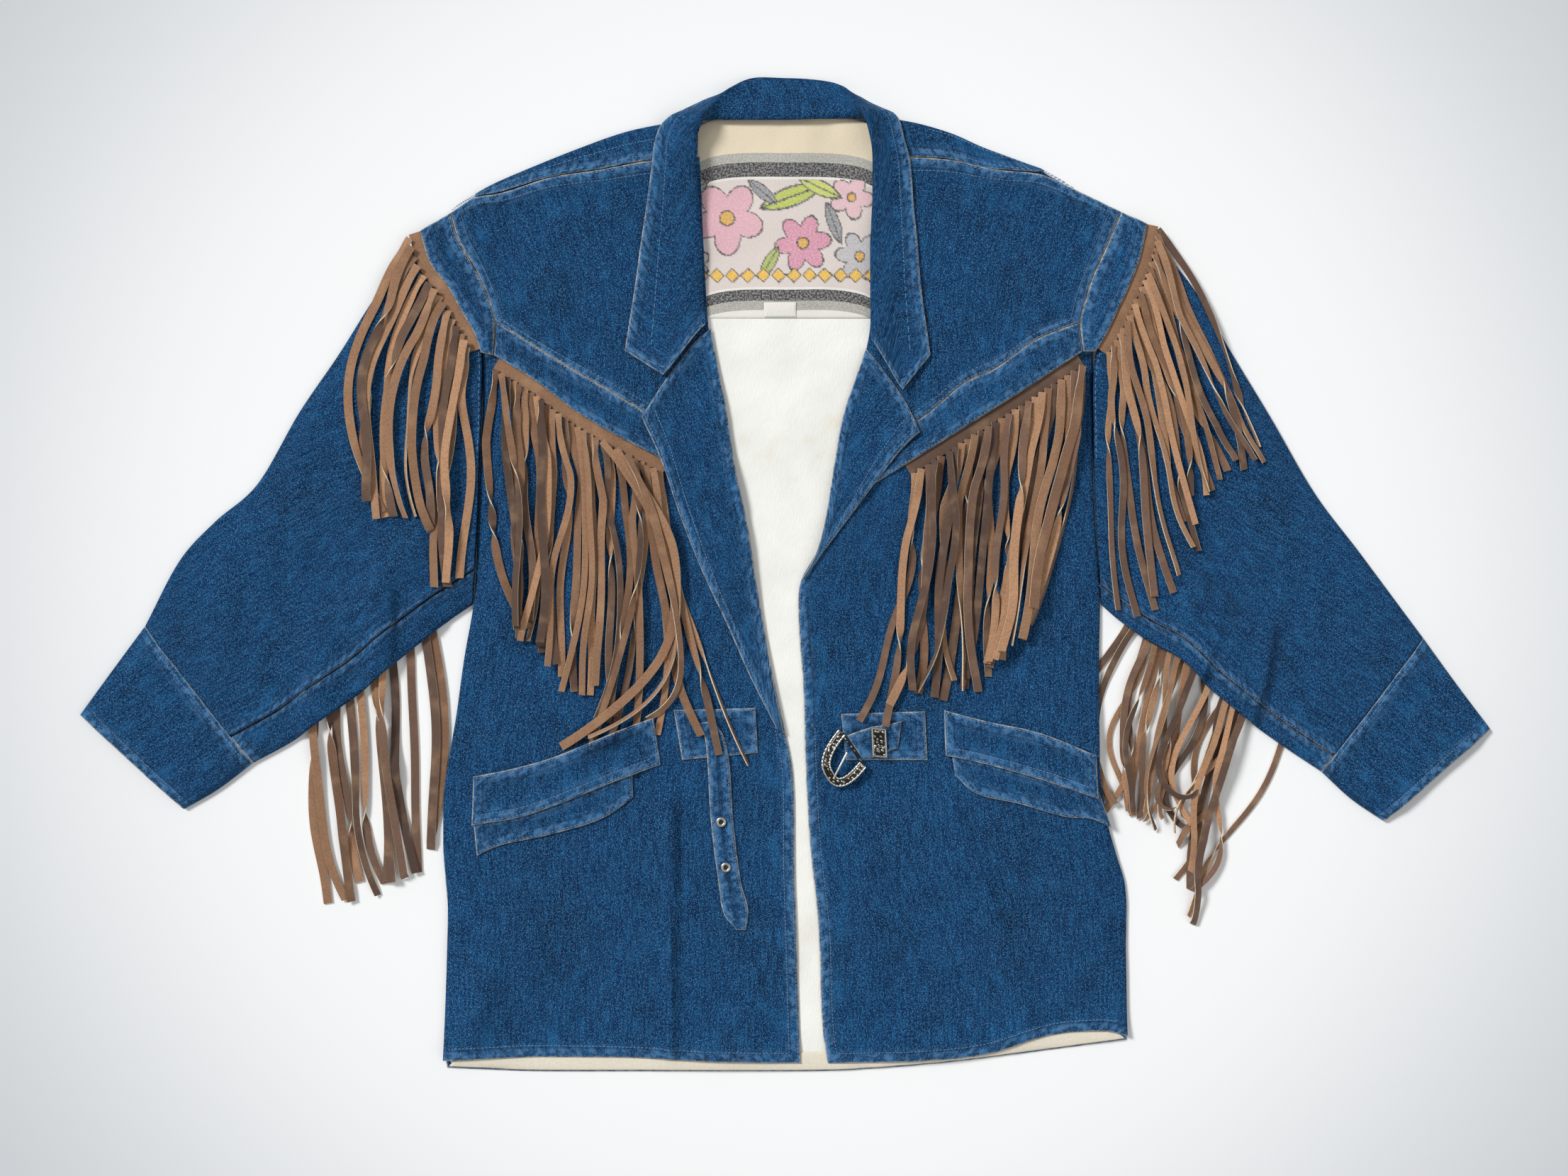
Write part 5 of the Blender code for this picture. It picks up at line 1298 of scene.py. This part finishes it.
def build_back_yoke():
    """Back yoke: its shoulders fold over to meet the front yokes, but not behind the neck."""
    points, over, parts = yoke_points()
    bm = bmesh.new()
    put_grid(bm, points)
    bm.normal_update()
    hidden = []
    for face in bm.faces:
        centre = face.calc_center_median() / MM
        shown = NECK_HALF < abs(centre.x) and RETURN_ENDS[0] < centre.x < RETURN_ENDS[1]
        if centre.z > 0.05 and not shown:
            hidden.append(face)
    bmesh.ops.delete(bm, geom=hidden, context="FACES")
    face_up(bm)
    piece = finish_piece("back_yoke", bm, DENIM_CLOTH, ["back_yoke"])
    x, y = lengths_of(points)
    mark_cloth(piece, np.dstack([x, y]), edge_distances(x, y, (0, 0, 0, 1)))
    add_wall(piece, DENIM)
    state_cut(piece)
    for side, (first, last) in RETURN_ROWS.items():
        SHEETS["return_" + side] = (np.linspace(0, 1, last - first), parts, over[first:last])
    across = over[:, 0, 0]
    HEAP.add(over[(across < -NECK_HALF) & (across > RETURN_ENDS[0])])
    HEAP.add(over[(across > NECK_HALF) & (across < RETURN_ENDS[1])])


# %% [markdown]
# ## The printed design
# The panel below the neck carries a bold print in thin ink.  This design is made up: blossoms,
# leaves and a row of diamonds, of like size and colours.  An image could be mapped on, but then
# it would have to be shipped; the shapes are simple sums of distance and angle instead, and
# their colour is stored on the panel's fine grid.

# %% The printed design
# Columns: x, y, size, petals, turn, colour
BLOSSOMS = ((-50, 300, 31, 5, 0.3, "#DDA9B4"), (14, 279, 24, 6, 0.9, "#D58FA6"),
            (55, 318, 19, 5, 1.4, "#E0B8BE"), (62, 268, 21, 6, 0.1, "#B9B6B8"),
            (-78, 262, 14, 5, 0.7, "#C9C3C6"))
# Columns: x, y, half length, half width, turn in degrees, colour
LEAVES = ((4, 318, 27, 8, 20, "#B5C24A"), (28, 326, 20, 6, -25, "#C3CC5E"),
          (-14, 263, 15, 5, 60, "#A8B557"), (-80, 322, 16, 6, 35, "#9FA3A0"),
          (40, 296, 18, 5, 110, "#8F9194"), (-20, 322, 15, 5, 140, "#8A8D90"))
DIAMOND = (13.0, 252.0, 6.0, "#E8B73C")      # spacing, y of the row, half size, colour
OUTLINE = "#4A4446"
FIELD = (242.5, 332.5)                       # y between which the design is printed


def paint(xy):
    """Ink of the printed design at each point: a colour, and how much it covers."""
    ink = np.zeros((*xy.shape[:-1], 4))

    def fill(where, code):
        """Paints over what is there."""
        ink[where] = colour(code)

    for x, y, size, petals, turn, code in BLOSSOMS:
        away = xy - (x, y)
        radius = np.hypot(away[..., 0], away[..., 1])
        angle = np.arctan2(away[..., 1], away[..., 0]) + turn
        rim = size * (0.58 + 0.42 * np.abs(np.cos(angle * petals / 2)))
        fill(radius < rim, code)
        fill(np.abs(radius - rim) < 0.9, OUTLINE)
        fill(radius < size * 0.2, "#D9A441")
        fill(np.abs(radius - size * 0.2) < 0.7, OUTLINE)
    for x, y, half, wide, turn, code in LEAVES:
        away = xy - (x, y)
        c, s = math.cos(math.radians(turn)), math.sin(math.radians(turn))
        a = (away[..., 0] * c + away[..., 1] * s) / half
        b = (away[..., 1] * c - away[..., 0] * s) / wide
        shape = a**2 + np.abs(b) ** 1.3
        fill(shape < 1, code)
        fill(np.abs(shape - 1) < 0.14, OUTLINE)
        fill((np.abs(b) < 0.1) & (shape < 0.9), OUTLINE)
    pitch, middle, half, code = DIAMOND
    shape = np.abs((xy[..., 0] % pitch) - pitch / 2) + np.abs(xy[..., 1] - middle)
    fill(shape < half, code)
    fill(np.abs(shape - half) < 0.7, OUTLINE)
    ink[(xy[..., 1] < FIELD[0]) | (xy[..., 1] > FIELD[1])] = 0.0
    return ink


# %% [markdown]
# ## Lining, neck panel and label
# Between the fronts one sees into the jacket: white lining, the printed panel, a small label and,
# along the hem, the turned-up edge.  They are panels like the others, only thinner, and the
# printed one has cells of about a millimetre, because its ink is stored on them.

# %% Lining, neck panel and label
def build_inside():
    """Cotton lining, the printed panel below the neck and a bare label."""
    top = edge((-108, 366), (-66, 380), (0, 384), (66, 380), (108, 366))
    hem = edge((-284, -413), (-200, -416), (12, -417), (121, -410), (213, -399), (283, -391))
    left = edge((-108, 366), (-190, 300), (-238, 190), (-242, 60), (-252, -90), (-270, -230),
                (-270, -330), (-284, -413))
    right = edge((108, 366), (190, 300), (238, 190), (242, 60), (248, -90), (262, -230),
                 (270, -330), (283, -391))
    lay("back_lining", plan(top, hem, left, right), ["back_lining"], LINING, COTTON,
        step=5.0, reach=1.0, rounds=2, loose=0.5)
    HEAP.settle()
    panel = plan(edge((-86, 372), (-62, 383), (0, 386), (62, 383), (86, 372)), edge((-86, 216), (86, 216)),
                 edge((-86, 372), (-86, 216)), edge((86, 372), (86, 216)))
    piece = lay("neck_panel", panel, ["neck_panel"], PRINTED, COTTON,
                step=1.15, reach=2.0, rounds=6, loose=0.5, worn=(0, 0, 0, 0))
    ink = paint(SHEETS["neck_panel"][2][..., :2]).reshape(-1, 4)
    piece.data.attributes.new("ink", "FLOAT_COLOR", "POINT").data.foreach_set(
        "color", ink[cells_of(piece)].astype(np.float32).ravel())
    HEAP.settle()
    turning = plan(edge((-272, -400), (-200, -404), (12, -404), (121, -398), (213, -387), (272, -380)),
                   edge((-285, -416), (-200, -419.4), (12, -419.4), (121, -413.4), (213, -402.4),
                        (286, -392.4)),
                   edge((-272, -400), (-285, -416)), edge((272, -380), (286, -392.4)))
    lay("hem_turning", turning, [], HEM_TAPE, COTTON, step=4.0, reach=1.0,
        rounds=2, loose=0.3)
    label = plan(edge((-19, 229), (8, 229)), edge((-19, 217), (8, 217)),
                 edge((-19, 229), (-19, 217)), edge((8, 229), (8, 217)))
    lay("care_label", label, ["care_label"], LABEL, TAPE, step=1.5, rounds=4,
        loose=0.3)

# %% [markdown]
# ## Fronts
# The two fronts are the largest panels and carry the folds that give the jacket away as cloth:
# one deep crease on each, and many soft ones.  Their openings keep a double row of stitches.

# %% Fronts
def build_front(side):
    """One front, with its folds."""
    lines = SIDES[side]
    front = plan(lines["front_top"], lines["hem"], lines["side"], lines["opening"])
    lay("front_" + side, front, ["front_" + side], folds=FOLDS[side], worn=(0, 1, 1, 1))
    stitch("front_" + side, "right", (2.0,))
    stitch("front_" + side, "bottom", (9.5,))
    stitch("front_" + side, "right", (9.0,), 0.42, 1.0)


# %% [markdown]
# ## Front yokes and the bands that hold the fringe
# The yoke is a large pointed panel, and a narrow band is sewn along two of its edges over the
# fringe's strip.  Modelling the three as one with cut lines would lose the shadow between them.
# They lie edge to edge, 0.35 mm apart.

# %% Front yokes and bands
GAP = 0.35         # mm between two pieces that are sewn edge to edge


def build_yoke(side):
    """Front yoke and the two bands that hold the fringe, edge to edge."""
    lines = SIDES[side]
    turn = 1.0 if side == "left" else -1.0
    chest_seam, chest_edge = lines["chest_seam"], lines["chest_edge"]
    yoke = plan(lines["shoulder_seam"], chest_seam, lines["band_seam"], lines["yoke_neck"])
    lay("yoke_" + side, yoke, ["yoke_" + side], worn=(1, 0, 1, 1))
    below = beside(chest_seam, -GAP * turn)
    lay("chest_band_" + side, band_plan(below, chest_edge), ["chest_band_" + side],
        step=2.8)
    outside = beside(lines["band_seam"], -GAP * turn)
    inner = edge(*outside(np.linspace(0.0, 1.0, 6)), chest_edge(0.0) - (2 * GAP * turn, 0.0))
    outer = lines["band_edge"]
    shoulder = plan(between(outer, inner, 0.0), between(outer, inner, 1.0), outer, inner)
    lay("shoulder_band_" + side, shoulder, ["shoulder_band_" + side], step=2.6)
    for way in ("top", "left", "bottom"):
        stitch("yoke_" + side, way, (2.0, 8.5))
    for way in ("bottom", "top"):
        stitch("chest_band_" + side, way, (2.2,))
    for way in ("left", "right"):
        stitch("shoulder_band_" + side, way, (2.2,))


# %% [markdown]
# ## Half belts
# On each front a stitched square holds a half of the belt: on the left a pointed strap with two
# eyelets, and on the right a short one with the buckle.  A strap is a thicker panel, because it
# is two layers, with a row of stitches along both edges.

# %% Half belts
def build_patch(side):
    """The stitched square that carries a half of the belt."""
    top, bottom = SIDES[side]["patch_top"], SIDES[side]["patch_bottom"]
    name = "tab_patch_" + side
    lay(name, band_plan(top, bottom), [name], step=2.0, wall=PATCH, rounds=16)
    for way in ("left", "right", "top", "bottom"):
        stitch(name, way, (2.0,), pitch=2.6)


def build_strap(name, rows):
    """A strap between its two edges."""
    rows = np.array(rows, float)
    one, other = edge(*rows[:, :2]), edge(*rows[:, 2:])
    strap = plan(between(one, other, 0.0), between(one, other, 1.0), one, other)
    lay(name, strap, [name], step=1.8, wall=STRAP, rounds=18, loose=0.5)
    stitch(name, "left", (2.2,), pitch=2.6)
    stitch(name, "right", (2.2,), pitch=2.6)


# %% [markdown]
# ## Lapels and pockets
# A lapel is the facing, turned out over the front along the roll; a pocket is a slanting welt
# with a flap that hangs out beneath it.  All of them are panels laid on the front, and their
# faded, stitched edges do most of the drawing.

# %% Lapels and pockets
def build_lapel(side):
    """Turned-out facing, from the roll line to the lapel's edge."""
    lines = SIDES[side]
    bottom = edge(lines["lapel_edge"](1.0), lines["roll"](1.0))
    name = "facing_" + side
    lay(name, plan(lines["gorge"], bottom, lines["lapel_edge"], lines["roll"]), [name],
        step=2.8, rounds=14, worn=(1, 1, 1, 0))
    stitch(name, "left", (2.2, 9.0), 0.0, 0.97)
    stitch(name, "top", (2.2,))


def build_pocket(side, part):
    """A slanting welt, or the flap that hangs out beneath it."""
    top, bottom = SIDES[side][part + "_top"], SIDES[side][part + "_bottom"]
    name = "pocket_" + part + "_" + side
    lay(name, band_plan(top, bottom), [name], step=2.4, rounds=14)
    stitch(name, "top", (2.2,))
    stitch(name, "bottom", (2.2, 8.0) if part == "welt" else (2.4,))
    stitch(name, "right", (2.4,))


# %% [markdown]
# ## Collar
# The collar is one band, folded along its roll: the stand rises from the neck seam, and the leaf
# falls outside it.  Folding a flat mesh by hand would take long, so 21 stations round the neck
# give seam, roll and leaf edge with their heights, and a grid runs through all three.

# %% Collar
def collar_points(at):
    """The middle of the collar's cloth at each part of its length, from the seam to the leaf's edge."""
    rows = np.array(COLLAR, float)
    keys = np.linspace(0.0, 1.0, len(rows))
    seam, roll, leaf = (np.stack([smooth(keys, rows[:, 3 * n + c], at) for c in range(3)], axis=-1)
                        for n in range(3))
    stand_parts = np.array([0.0, 0.2, 0.4, 0.6, 0.8])[None, :, None]
    leaf_parts = np.concatenate([np.linspace(0.0, 0.95, 14), [0.985, 1.0]])[None, :, None]
    stand = seam[:, None, :2] - (seam[:, :2] - roll[:, :2])[:, None, :] * stand_parts
    sheet = roll[:, None, :2] + (leaf[:, :2] - roll[:, :2])[:, None, :] * (0.06 + 0.94 * leaf_parts)
    ends = np.minimum(at, 1 - at)
    notch = np.where(at < 0.5, *LEAF_NOTCH) * np.clip(1 - ends / 0.07, 0.0, 1.0) ** 1.5
    sheet[..., 1] -= notch[:, None] * (1 - np.abs(2 * leaf_parts[..., 0] - 1))
    xy = np.concatenate([stand, roll[:, None, :2], sheet], axis=1)
    below = drape(HEAP.seat(xy, 6.0), 16)
    stand_rise = seam[:, None, 2] + (roll[:, None, 2] - 2.0 - seam[:, None, 2]) * stand_parts[..., 0]
    leaf_rise = roll[:, None, 2] + (leaf[:, None, 2] - roll[:, None, 2]) * leaf_parts[..., 0]
    sides = np.clip((np.abs(at - 0.5) - 0.12) / 0.1, 0.0, 1.0)[:, None]
    leaf_rise = leaf_rise + sides * 1.5 * np.sin(np.pi * np.clip(leaf_parts[..., 0] + 0.25, 0, 1))
    height = np.concatenate([stand_rise, (stand_rise[:, -1:] + leaf_rise[:, :1]) / 2, leaf_rise], axis=1)
    points = np.dstack([xy, below + height + 0.5 * rumples(xy)])
    for _ in range(2):
        points[:, 4:8] = (points[:, 3:7] + 2 * points[:, 4:8] + points[:, 5:9]) / 4
    points[:, -1, 2] -= 0.45
    return points


def build_collar():
    """A band folded along its roll: the leaf lies outside the stand all the way round."""
    at = np.concatenate([[0.0, 0.0012], np.linspace(0.004, 0.996, 230), [0.9988, 1.0]])
    points = collar_points(at)
    bm = bmesh.new()
    put_grid(bm, points)
    face_up(bm)
    piece = finish_piece("collar", bm, DENIM_CLOTH, ["collar"])
    x, y = lengths_of(points)
    mark_cloth(piece, np.dstack([x, y]), edge_distances(x, y, (1, 1, 0, 1)))
    add_wall(piece, DENIM, 0.0)
    state_cut(piece)
    SHEETS["collar"] = (at, np.linspace(0, 1, 15), points[:, 7:] + (0, 0, DENIM / 2))
    stitch("collar", "bottom", (2.2, 8.5))
    stitch("collar", "left", (2.2,), 0.2, 1.0)
    stitch("collar", "right", (2.2,), 0.2, 1.0)

# %% [markdown]
# ## Metal rods
# The buckle's frame, its beaded rims, the tongue, the keeper's edge and the eyelets are all bent
# rods.  A bevelled curve would give them, but its size can't swell and shrink as beads do.  A
# grid that is rolled up along the line can, and its seam is welded.

# %% Rods
def sweep(bm, points, half_wide, half_high, closed, sides=10):
    """Adds a rod with an oval section along a line, and gives back its faces.

    It is a grid that is rolled up: one row of it for each point, and the seam is welded.
    """
    if closed:
        along = np.roll(points, -1, axis=0) - np.roll(points, 1, axis=0)
    else:
        along = np.gradient(points, axis=0)
    side = np.stack([-along[:, 1], along[:, 0], np.zeros(len(along))], axis=-1)
    side /= np.linalg.norm(side, axis=-1, keepdims=True)
    wide = np.broadcast_to(half_wide, len(points))[:, None, None]
    high = np.broadcast_to(half_high, len(points))[:, None, None]
    angle = np.linspace(0, 2 * math.pi, sides + 1)[None, :, None]
    up = np.array([0.0, 0.0, 1.0])
    rings = points[:, None] + side[:, None] * wide * np.cos(angle) + up * high * np.sin(angle)
    if closed:
        rings = np.concatenate([rings, rings[:1]])
    before = set(bm.faces)
    made = put_grid(bm, rings)[0]
    verts = list(dict.fromkeys(vert for face in made for vert in face.verts))
    bmesh.ops.remove_doubles(bm, verts=verts, dist=0.01 * MM)
    if not closed:
        bmesh.ops.holes_fill(bm, edges=[edge for edge in bm.edges if edge.is_boundary], sides=sides)
    return [face for face in bm.faces if face not in before]


# %% [markdown]
# ## Buckle and tongue
# A western buckle: a broad bow with an engraved face between two beaded rims, and a straight
# bar that the strap goes round.  The bow could be cut from a plate, but a rod that follows it
# already has the round back.  The tongue is a thin rod that gets thinner towards its tip.

# %% Buckle and tongue
# Rods of the bow.  Columns: distance from its middle line, half width, half height, size of
# the beads as a part of it, how much higher it lies, which material
BOW = ((0.0, 2.7, 1.4, 0.0, 0.0, 0), (-3.1, 0.95, 1.1, 0.25, 0.35, 1), (3.1, 0.95, 1.1, 0.25, 0.35, 1))
BEADS = 22


def build_buckle():
    """A bow and its bar, beaded along the edges; gives back the height of its top."""
    start, end = np.array(BUCKLE_BAR, float)
    middle, half = (start + end) / 2, (end - start) / 2
    out = np.array([half[1], -half[0]]) / np.linalg.norm(half)
    out *= math.copysign(1.0, -out[0]) * (BUCKLE_DEPTH - 2.6)
    out += half / np.linalg.norm(half) * BUCKLE_SKEW
    angle = np.linspace(0, math.pi, 90)
    wide = np.sign(np.cos(angle)) * np.abs(np.cos(angle)) ** 0.7
    bow = middle - half * wide[:, None] * 1.04 + out * (np.abs(np.sin(angle)) ** 0.8)[:, None]
    z = HEAP.height(bow, 3.0).max() + AIR + 1.6
    along = np.gradient(bow, axis=0)
    side = np.stack([-along[:, 1], along[:, 0]], axis=-1) / np.linalg.norm(along, axis=-1, keepdims=True)
    bm = bmesh.new()
    for away, thick, high, beads, rise, look in BOW:
        line = np.column_stack([bow + side * away, np.full(len(bow), z + rise)])
        bead = 1 + beads * np.sin(angle * 2 * BEADS)
        for face in sweep(bm, line, thick * bead, high * bead, False):
            face.material_index = look
    bar = np.column_stack([np.linspace(bow[0], bow[-1], 8), np.full(8, z)])
    sweep(bm, bar, 1.1, 1.1, False)
    bmesh.ops.recalc_face_normals(bm, faces=bm.faces[:])
    piece = finish_piece("buckle", bm, ENGRAVED, ["buckle"], 60)
    piece.data.materials.append(PLATED)
    return z + 1.6


def build_tongue(top):
    """A thin rod that lies across the bow, just above it."""
    start, end = np.array(TONGUE, float)
    t = np.linspace(0, 1, 14)[:, None]
    line = np.column_stack([start + (end - start) * t * 1.06, top + 0.9 + 0.5 * np.sin(t * math.pi)])
    bm = bmesh.new()
    sweep(bm, line, 1.1 - 0.35 * t[:, 0], 0.8 - 0.2 * t[:, 0], False)
    bmesh.ops.recalc_face_normals(bm, faces=bm.faces[:])
    finish_piece("buckle_tongue", bm, PLATED, ["buckle_tongue"], 60)


# %% [markdown]
# ## Keeper and eyelets
# The keeper is a flat engraved loop that holds the strap's end, with a bright rim and a row of
# scrolls.  An eyelet is a rolled ring in the strap; spinning a small arc round its axis would
# make it too, but the rod is at hand.  Its hole is painted shade: a dark disc from create_circle.

# %% Keeper and eyelets
SCROLLS = 5
SCROLL = (2.6, 1.3, 3.9)      # half width, half height, spacing


def build_keeper():
    """An engraved plate across the short strap, with a raised rim and a row of scrolls."""
    x0, y0, x1, y1 = KEEPER
    corners = np.array([(x0, y0), (x1, y0 - 1), (x1 + 1, y1 - 1), (x0 + 1, y1)], float)
    z = HEAP.height(corners, 4.0).max() + AIR + 0.9
    bm = bmesh.new()
    ways = zip(corners, np.roll(corners, -1, 0))
    loop = np.concatenate([np.linspace(a, b, 8, endpoint=False) for a, b in ways])
    for face in sweep(bm, np.column_stack([loop, np.full(len(loop), z + 0.3)]), 0.9, 0.9, True):
        face.material_index = 1
    middle = corners.mean(axis=0)
    plate = (middle + (corners - middle) * 0.92)[[0, 1, 3, 2]].reshape(2, 2, 2)
    low, high = np.full((2, 2), z - 0.7), np.full((2, 2), z + 0.35)
    put_grid(bm, np.dstack([plate, low]), np.dstack([plate, high]))
    half_wide, half_high, pitch = SCROLL
    for n in range(SCROLLS):
        spot = middle + np.array([0.1, -pitch]) * (n - (SCROLLS - 1) / 2)
        turn = np.linspace(0, 2 * math.pi, 12, endpoint=False)
        ring = spot + np.stack([half_wide * np.cos(turn), half_high * np.sin(turn)], axis=-1)
        sweep(bm, np.column_stack([ring, np.full(12, z + 0.45)]), 0.4, 0.4, True, 6)
    bmesh.ops.recalc_face_normals(bm, faces=bm.faces[:])
    piece = finish_piece("keeper", bm, ENGRAVED, ["keeper"], 40)
    piece.data.materials.append(PLATED)


def build_eyelet(number, spot):
    """A rolled ring, and a dark disc of painted shade inside it for the hole."""
    outer, inner = EYELET_SIZE
    ring, wire = (outer + inner) / 4, (outer - inner) / 4
    z = HEAP.height(np.array([spot], float), outer / 2)[0] + 0.1
    turn = np.linspace(0, 2 * math.pi, 40, endpoint=False)
    loop = np.array(spot) + ring * np.stack([np.cos(turn), np.sin(turn)], axis=-1)
    bm = bmesh.new()
    sweep(bm, np.column_stack([loop, np.full(len(loop), z + wire * 0.55)]), wire, wire * 0.65, True)
    bmesh.ops.recalc_face_normals(bm, faces=bm.faces[:])
    finish_piece("eyelet_" + str(number), bm, PLATED, ["eyelet_" + str(number)], 60)
    # A dark disc of painted shade stands for the hole.
    bm = bmesh.new()
    bmesh.ops.create_circle(bm, cap_ends=True, segments=24, radius=(inner / 2 + 0.4) * MM)
    bmesh.ops.translate(bm, verts=bm.verts[:], vec=(spot[0] * MM, spot[1] * MM, (z + 0.15) * MM))
    finish_piece("eyelet_hole_shade_" + str(number), bm, HOLE_SHADE, [])

# %% [markdown]
# ## Laying the jacket down
# The order is that of the real heap.  The back-sleeve fringes come first, since they hang from
# beneath; then sleeves, back, lining, fronts, belt, fringes, yokes, lapels, collar and pockets.
# Settling the heap ends a layer, and what comes next lies on top of it.

# %% From the floor up to the fronts
BOTH = ("left", "right")
DROOP = {"left": 3.0, "right": 10.0}      # waviness of the back-sleeve strands, which lie tangled
for side in BOTH:
    build_fringe("sleeve", side, SLEEVE_ROOT[side], 1.0 if side == "left" else -1.0,
                 SLEEVE_STRANDS[side], DROOP[side], dark=True)
sleeves = [top for side in BOTH for top in build_sleeve(side) + build_cuff(side)]
build_back()
YOKE_FLAT = plan(edge((-304, 289), (-200, 350), (-116, 376), (0, 381), (105, 380), (209, 343), (299, 295)),
                 edge((-255, YOKE_LOW), (255, YOKE_LOW)), edge((-304, 289), (-255, YOKE_LOW)),
                 edge((299, 295), (255, YOKE_LOW)))
flat = YOKE_FLAT(*np.meshgrid(np.linspace(0, 1, 60), np.linspace(0, 1, 30), indexing="ij"))
HEAP.add(np.dstack([flat, np.full(flat.shape[:2], DENIM)]))
HEAP.settle()
build_inside()
HEAP.settle()
build_back_yoke()
for side in BOTH:
    build_front(side)
for top in sleeves:
    HEAP.add(top)
HEAP.settle()
print("heap, up to the fronts:", round(float(HEAP.top.max()), 1), "mm")

# %% Belt and fringes
for side in BOTH:
    build_patch(side)
HEAP.settle()
build_strap("belt_strap", BELT_STRAP)
build_strap("buckle_strap", BUCKLE_STRAP)
frame_top = build_buckle()
HEAP.settle()
for number, spot in enumerate(EYELETS, start=1):
    build_eyelet(number, spot)
build_keeper()
build_tongue(frame_top)
for kind, side, line, start, end, count in STRIPS:
    turn = 1.0 if side == "left" else -1.0
    stretch = part_of(SIDES[side][line], start, end)
    build_fringe(kind, side, beside(stretch, -10.0 * turn), turn, count, 4.0,
                 dark=side == "right" and kind == "chest")

# %% Yokes, lapels, pockets and collar
for side in BOTH:
    build_yoke(side)
HEAP.settle()
for side in BOTH:
    build_lapel(side)
    build_pocket(side, "flap")
HEAP.settle()
build_collar()
for side in BOTH:
    build_pocket(side, "welt")
for side in BOTH:
    stitch("sleeve_top_" + side, "top", (2.2,))
    stitch("sleeve_top_" + side, "left", (2.4,), 0.35, 1.0)
    stitch("cuff_" + side, "left", (2.2, 8.5))
    stitch("cuff_" + side, "right", (9.5,))
    stitch("return_" + side, "bottom", (2.2, 8.5))
build_stitches("topstitching")

# %% [markdown]
# ## Floor
# The jacket lies on white paper; its greying towards the corners, where the light falls off, is
# painted shade in the floor's colour.  A darker lamp edge would do that too, but a floor colour
# that follows the distance from the middle is steadier when the view turns.

# %% Floor
bpy.ops.mesh.primitive_plane_add(size=6.0, location=(0, 0, -0.0004))
floor = bpy.context.object
floor.name = "floor"
paper, tree, shader = material("pale paper, painted light falloff", 0.95)
# Painted shade: the colour greys from the middle out to the corners.
away = add(tree, "VectorMath", add(tree, "TexCoord", output="Object"), operation="LENGTH")
away = add(tree, "MapRange", away, 0.42, 0.95, 0.0, 1.0, **SMOOTH)
finish_look(tree, shader, add(tree, "Mix", away, colour("#F4F5F5"), colour("#C0C4C8"), **BLEND))
floor.data.materials.append(paper)

# %% [markdown]
# ## Light
# The photo has one large soft light from the upper left and a weak one opposite.  Area lamps
# would make them, but they leave the floor uneven; two suns with a wide angle give the same soft
# shadows at the same strength everywhere, and a pale world lifts the shadows.

# %% Light
world = bpy.data.worlds.new("studio")
bpy.context.scene.world = world
world.use_nodes = True
sky = world.node_tree.nodes["Background"]
sky.inputs["Color"].default_value = (0.97, 0.985, 1.0, 1.0)
sky.inputs["Strength"].default_value = 0.38
# Columns: name, direction it comes from, softness in degrees, strength
LAMPS = (("key", (-1.0, 0.75, 1.15), 16.0, 2.6), ("fill", (1.2, -0.5, 1.6), 50.0, 0.45))
for name, way, softness, strength in LAMPS:
    light = bpy.data.lights.new(name, "SUN")
    light.angle = math.radians(softness)
    light.energy = strength
    lamp = bpy.data.objects.new(name, light)
    lamp.rotation_euler = Vector(way).to_track_quat("Z", "Y").to_euler()
    bpy.context.scene.collection.objects.link(lamp)
bpy.context.scene.view_settings.view_transform = "Standard"
print("lamps", len(LAMPS))

# %% [markdown]
# ## Camera
# The photo was taken straight down.  With a lens of 50 mm, the height follows from the width of
# the picture, so that a pixel is 0.6 mm on the floor, as in the tables.

# %% Camera
PHOTO_WIDTH = 2212 * 0.6 * MM
SENSOR, LENS = 36.0, 50.0
PHOTO_MIDDLE = (-0.002, -0.012)      # middle of the photo in the tables, in metres
camera = bpy.data.objects.new("camera", bpy.data.cameras.new("camera"))
camera.data.sensor_width = SENSOR
camera.data.lens = LENS
camera.location = (PHOTO_MIDDLE[0] - MIDDLE[0] * MM, PHOTO_MIDDLE[1] - MIDDLE[1] * MM,
                   PHOTO_WIDTH * LENS / SENSOR)
bpy.context.scene.collection.objects.link(camera)
bpy.context.scene.camera = camera
print("camera", round(camera.location.z, 3), "m above the floor")
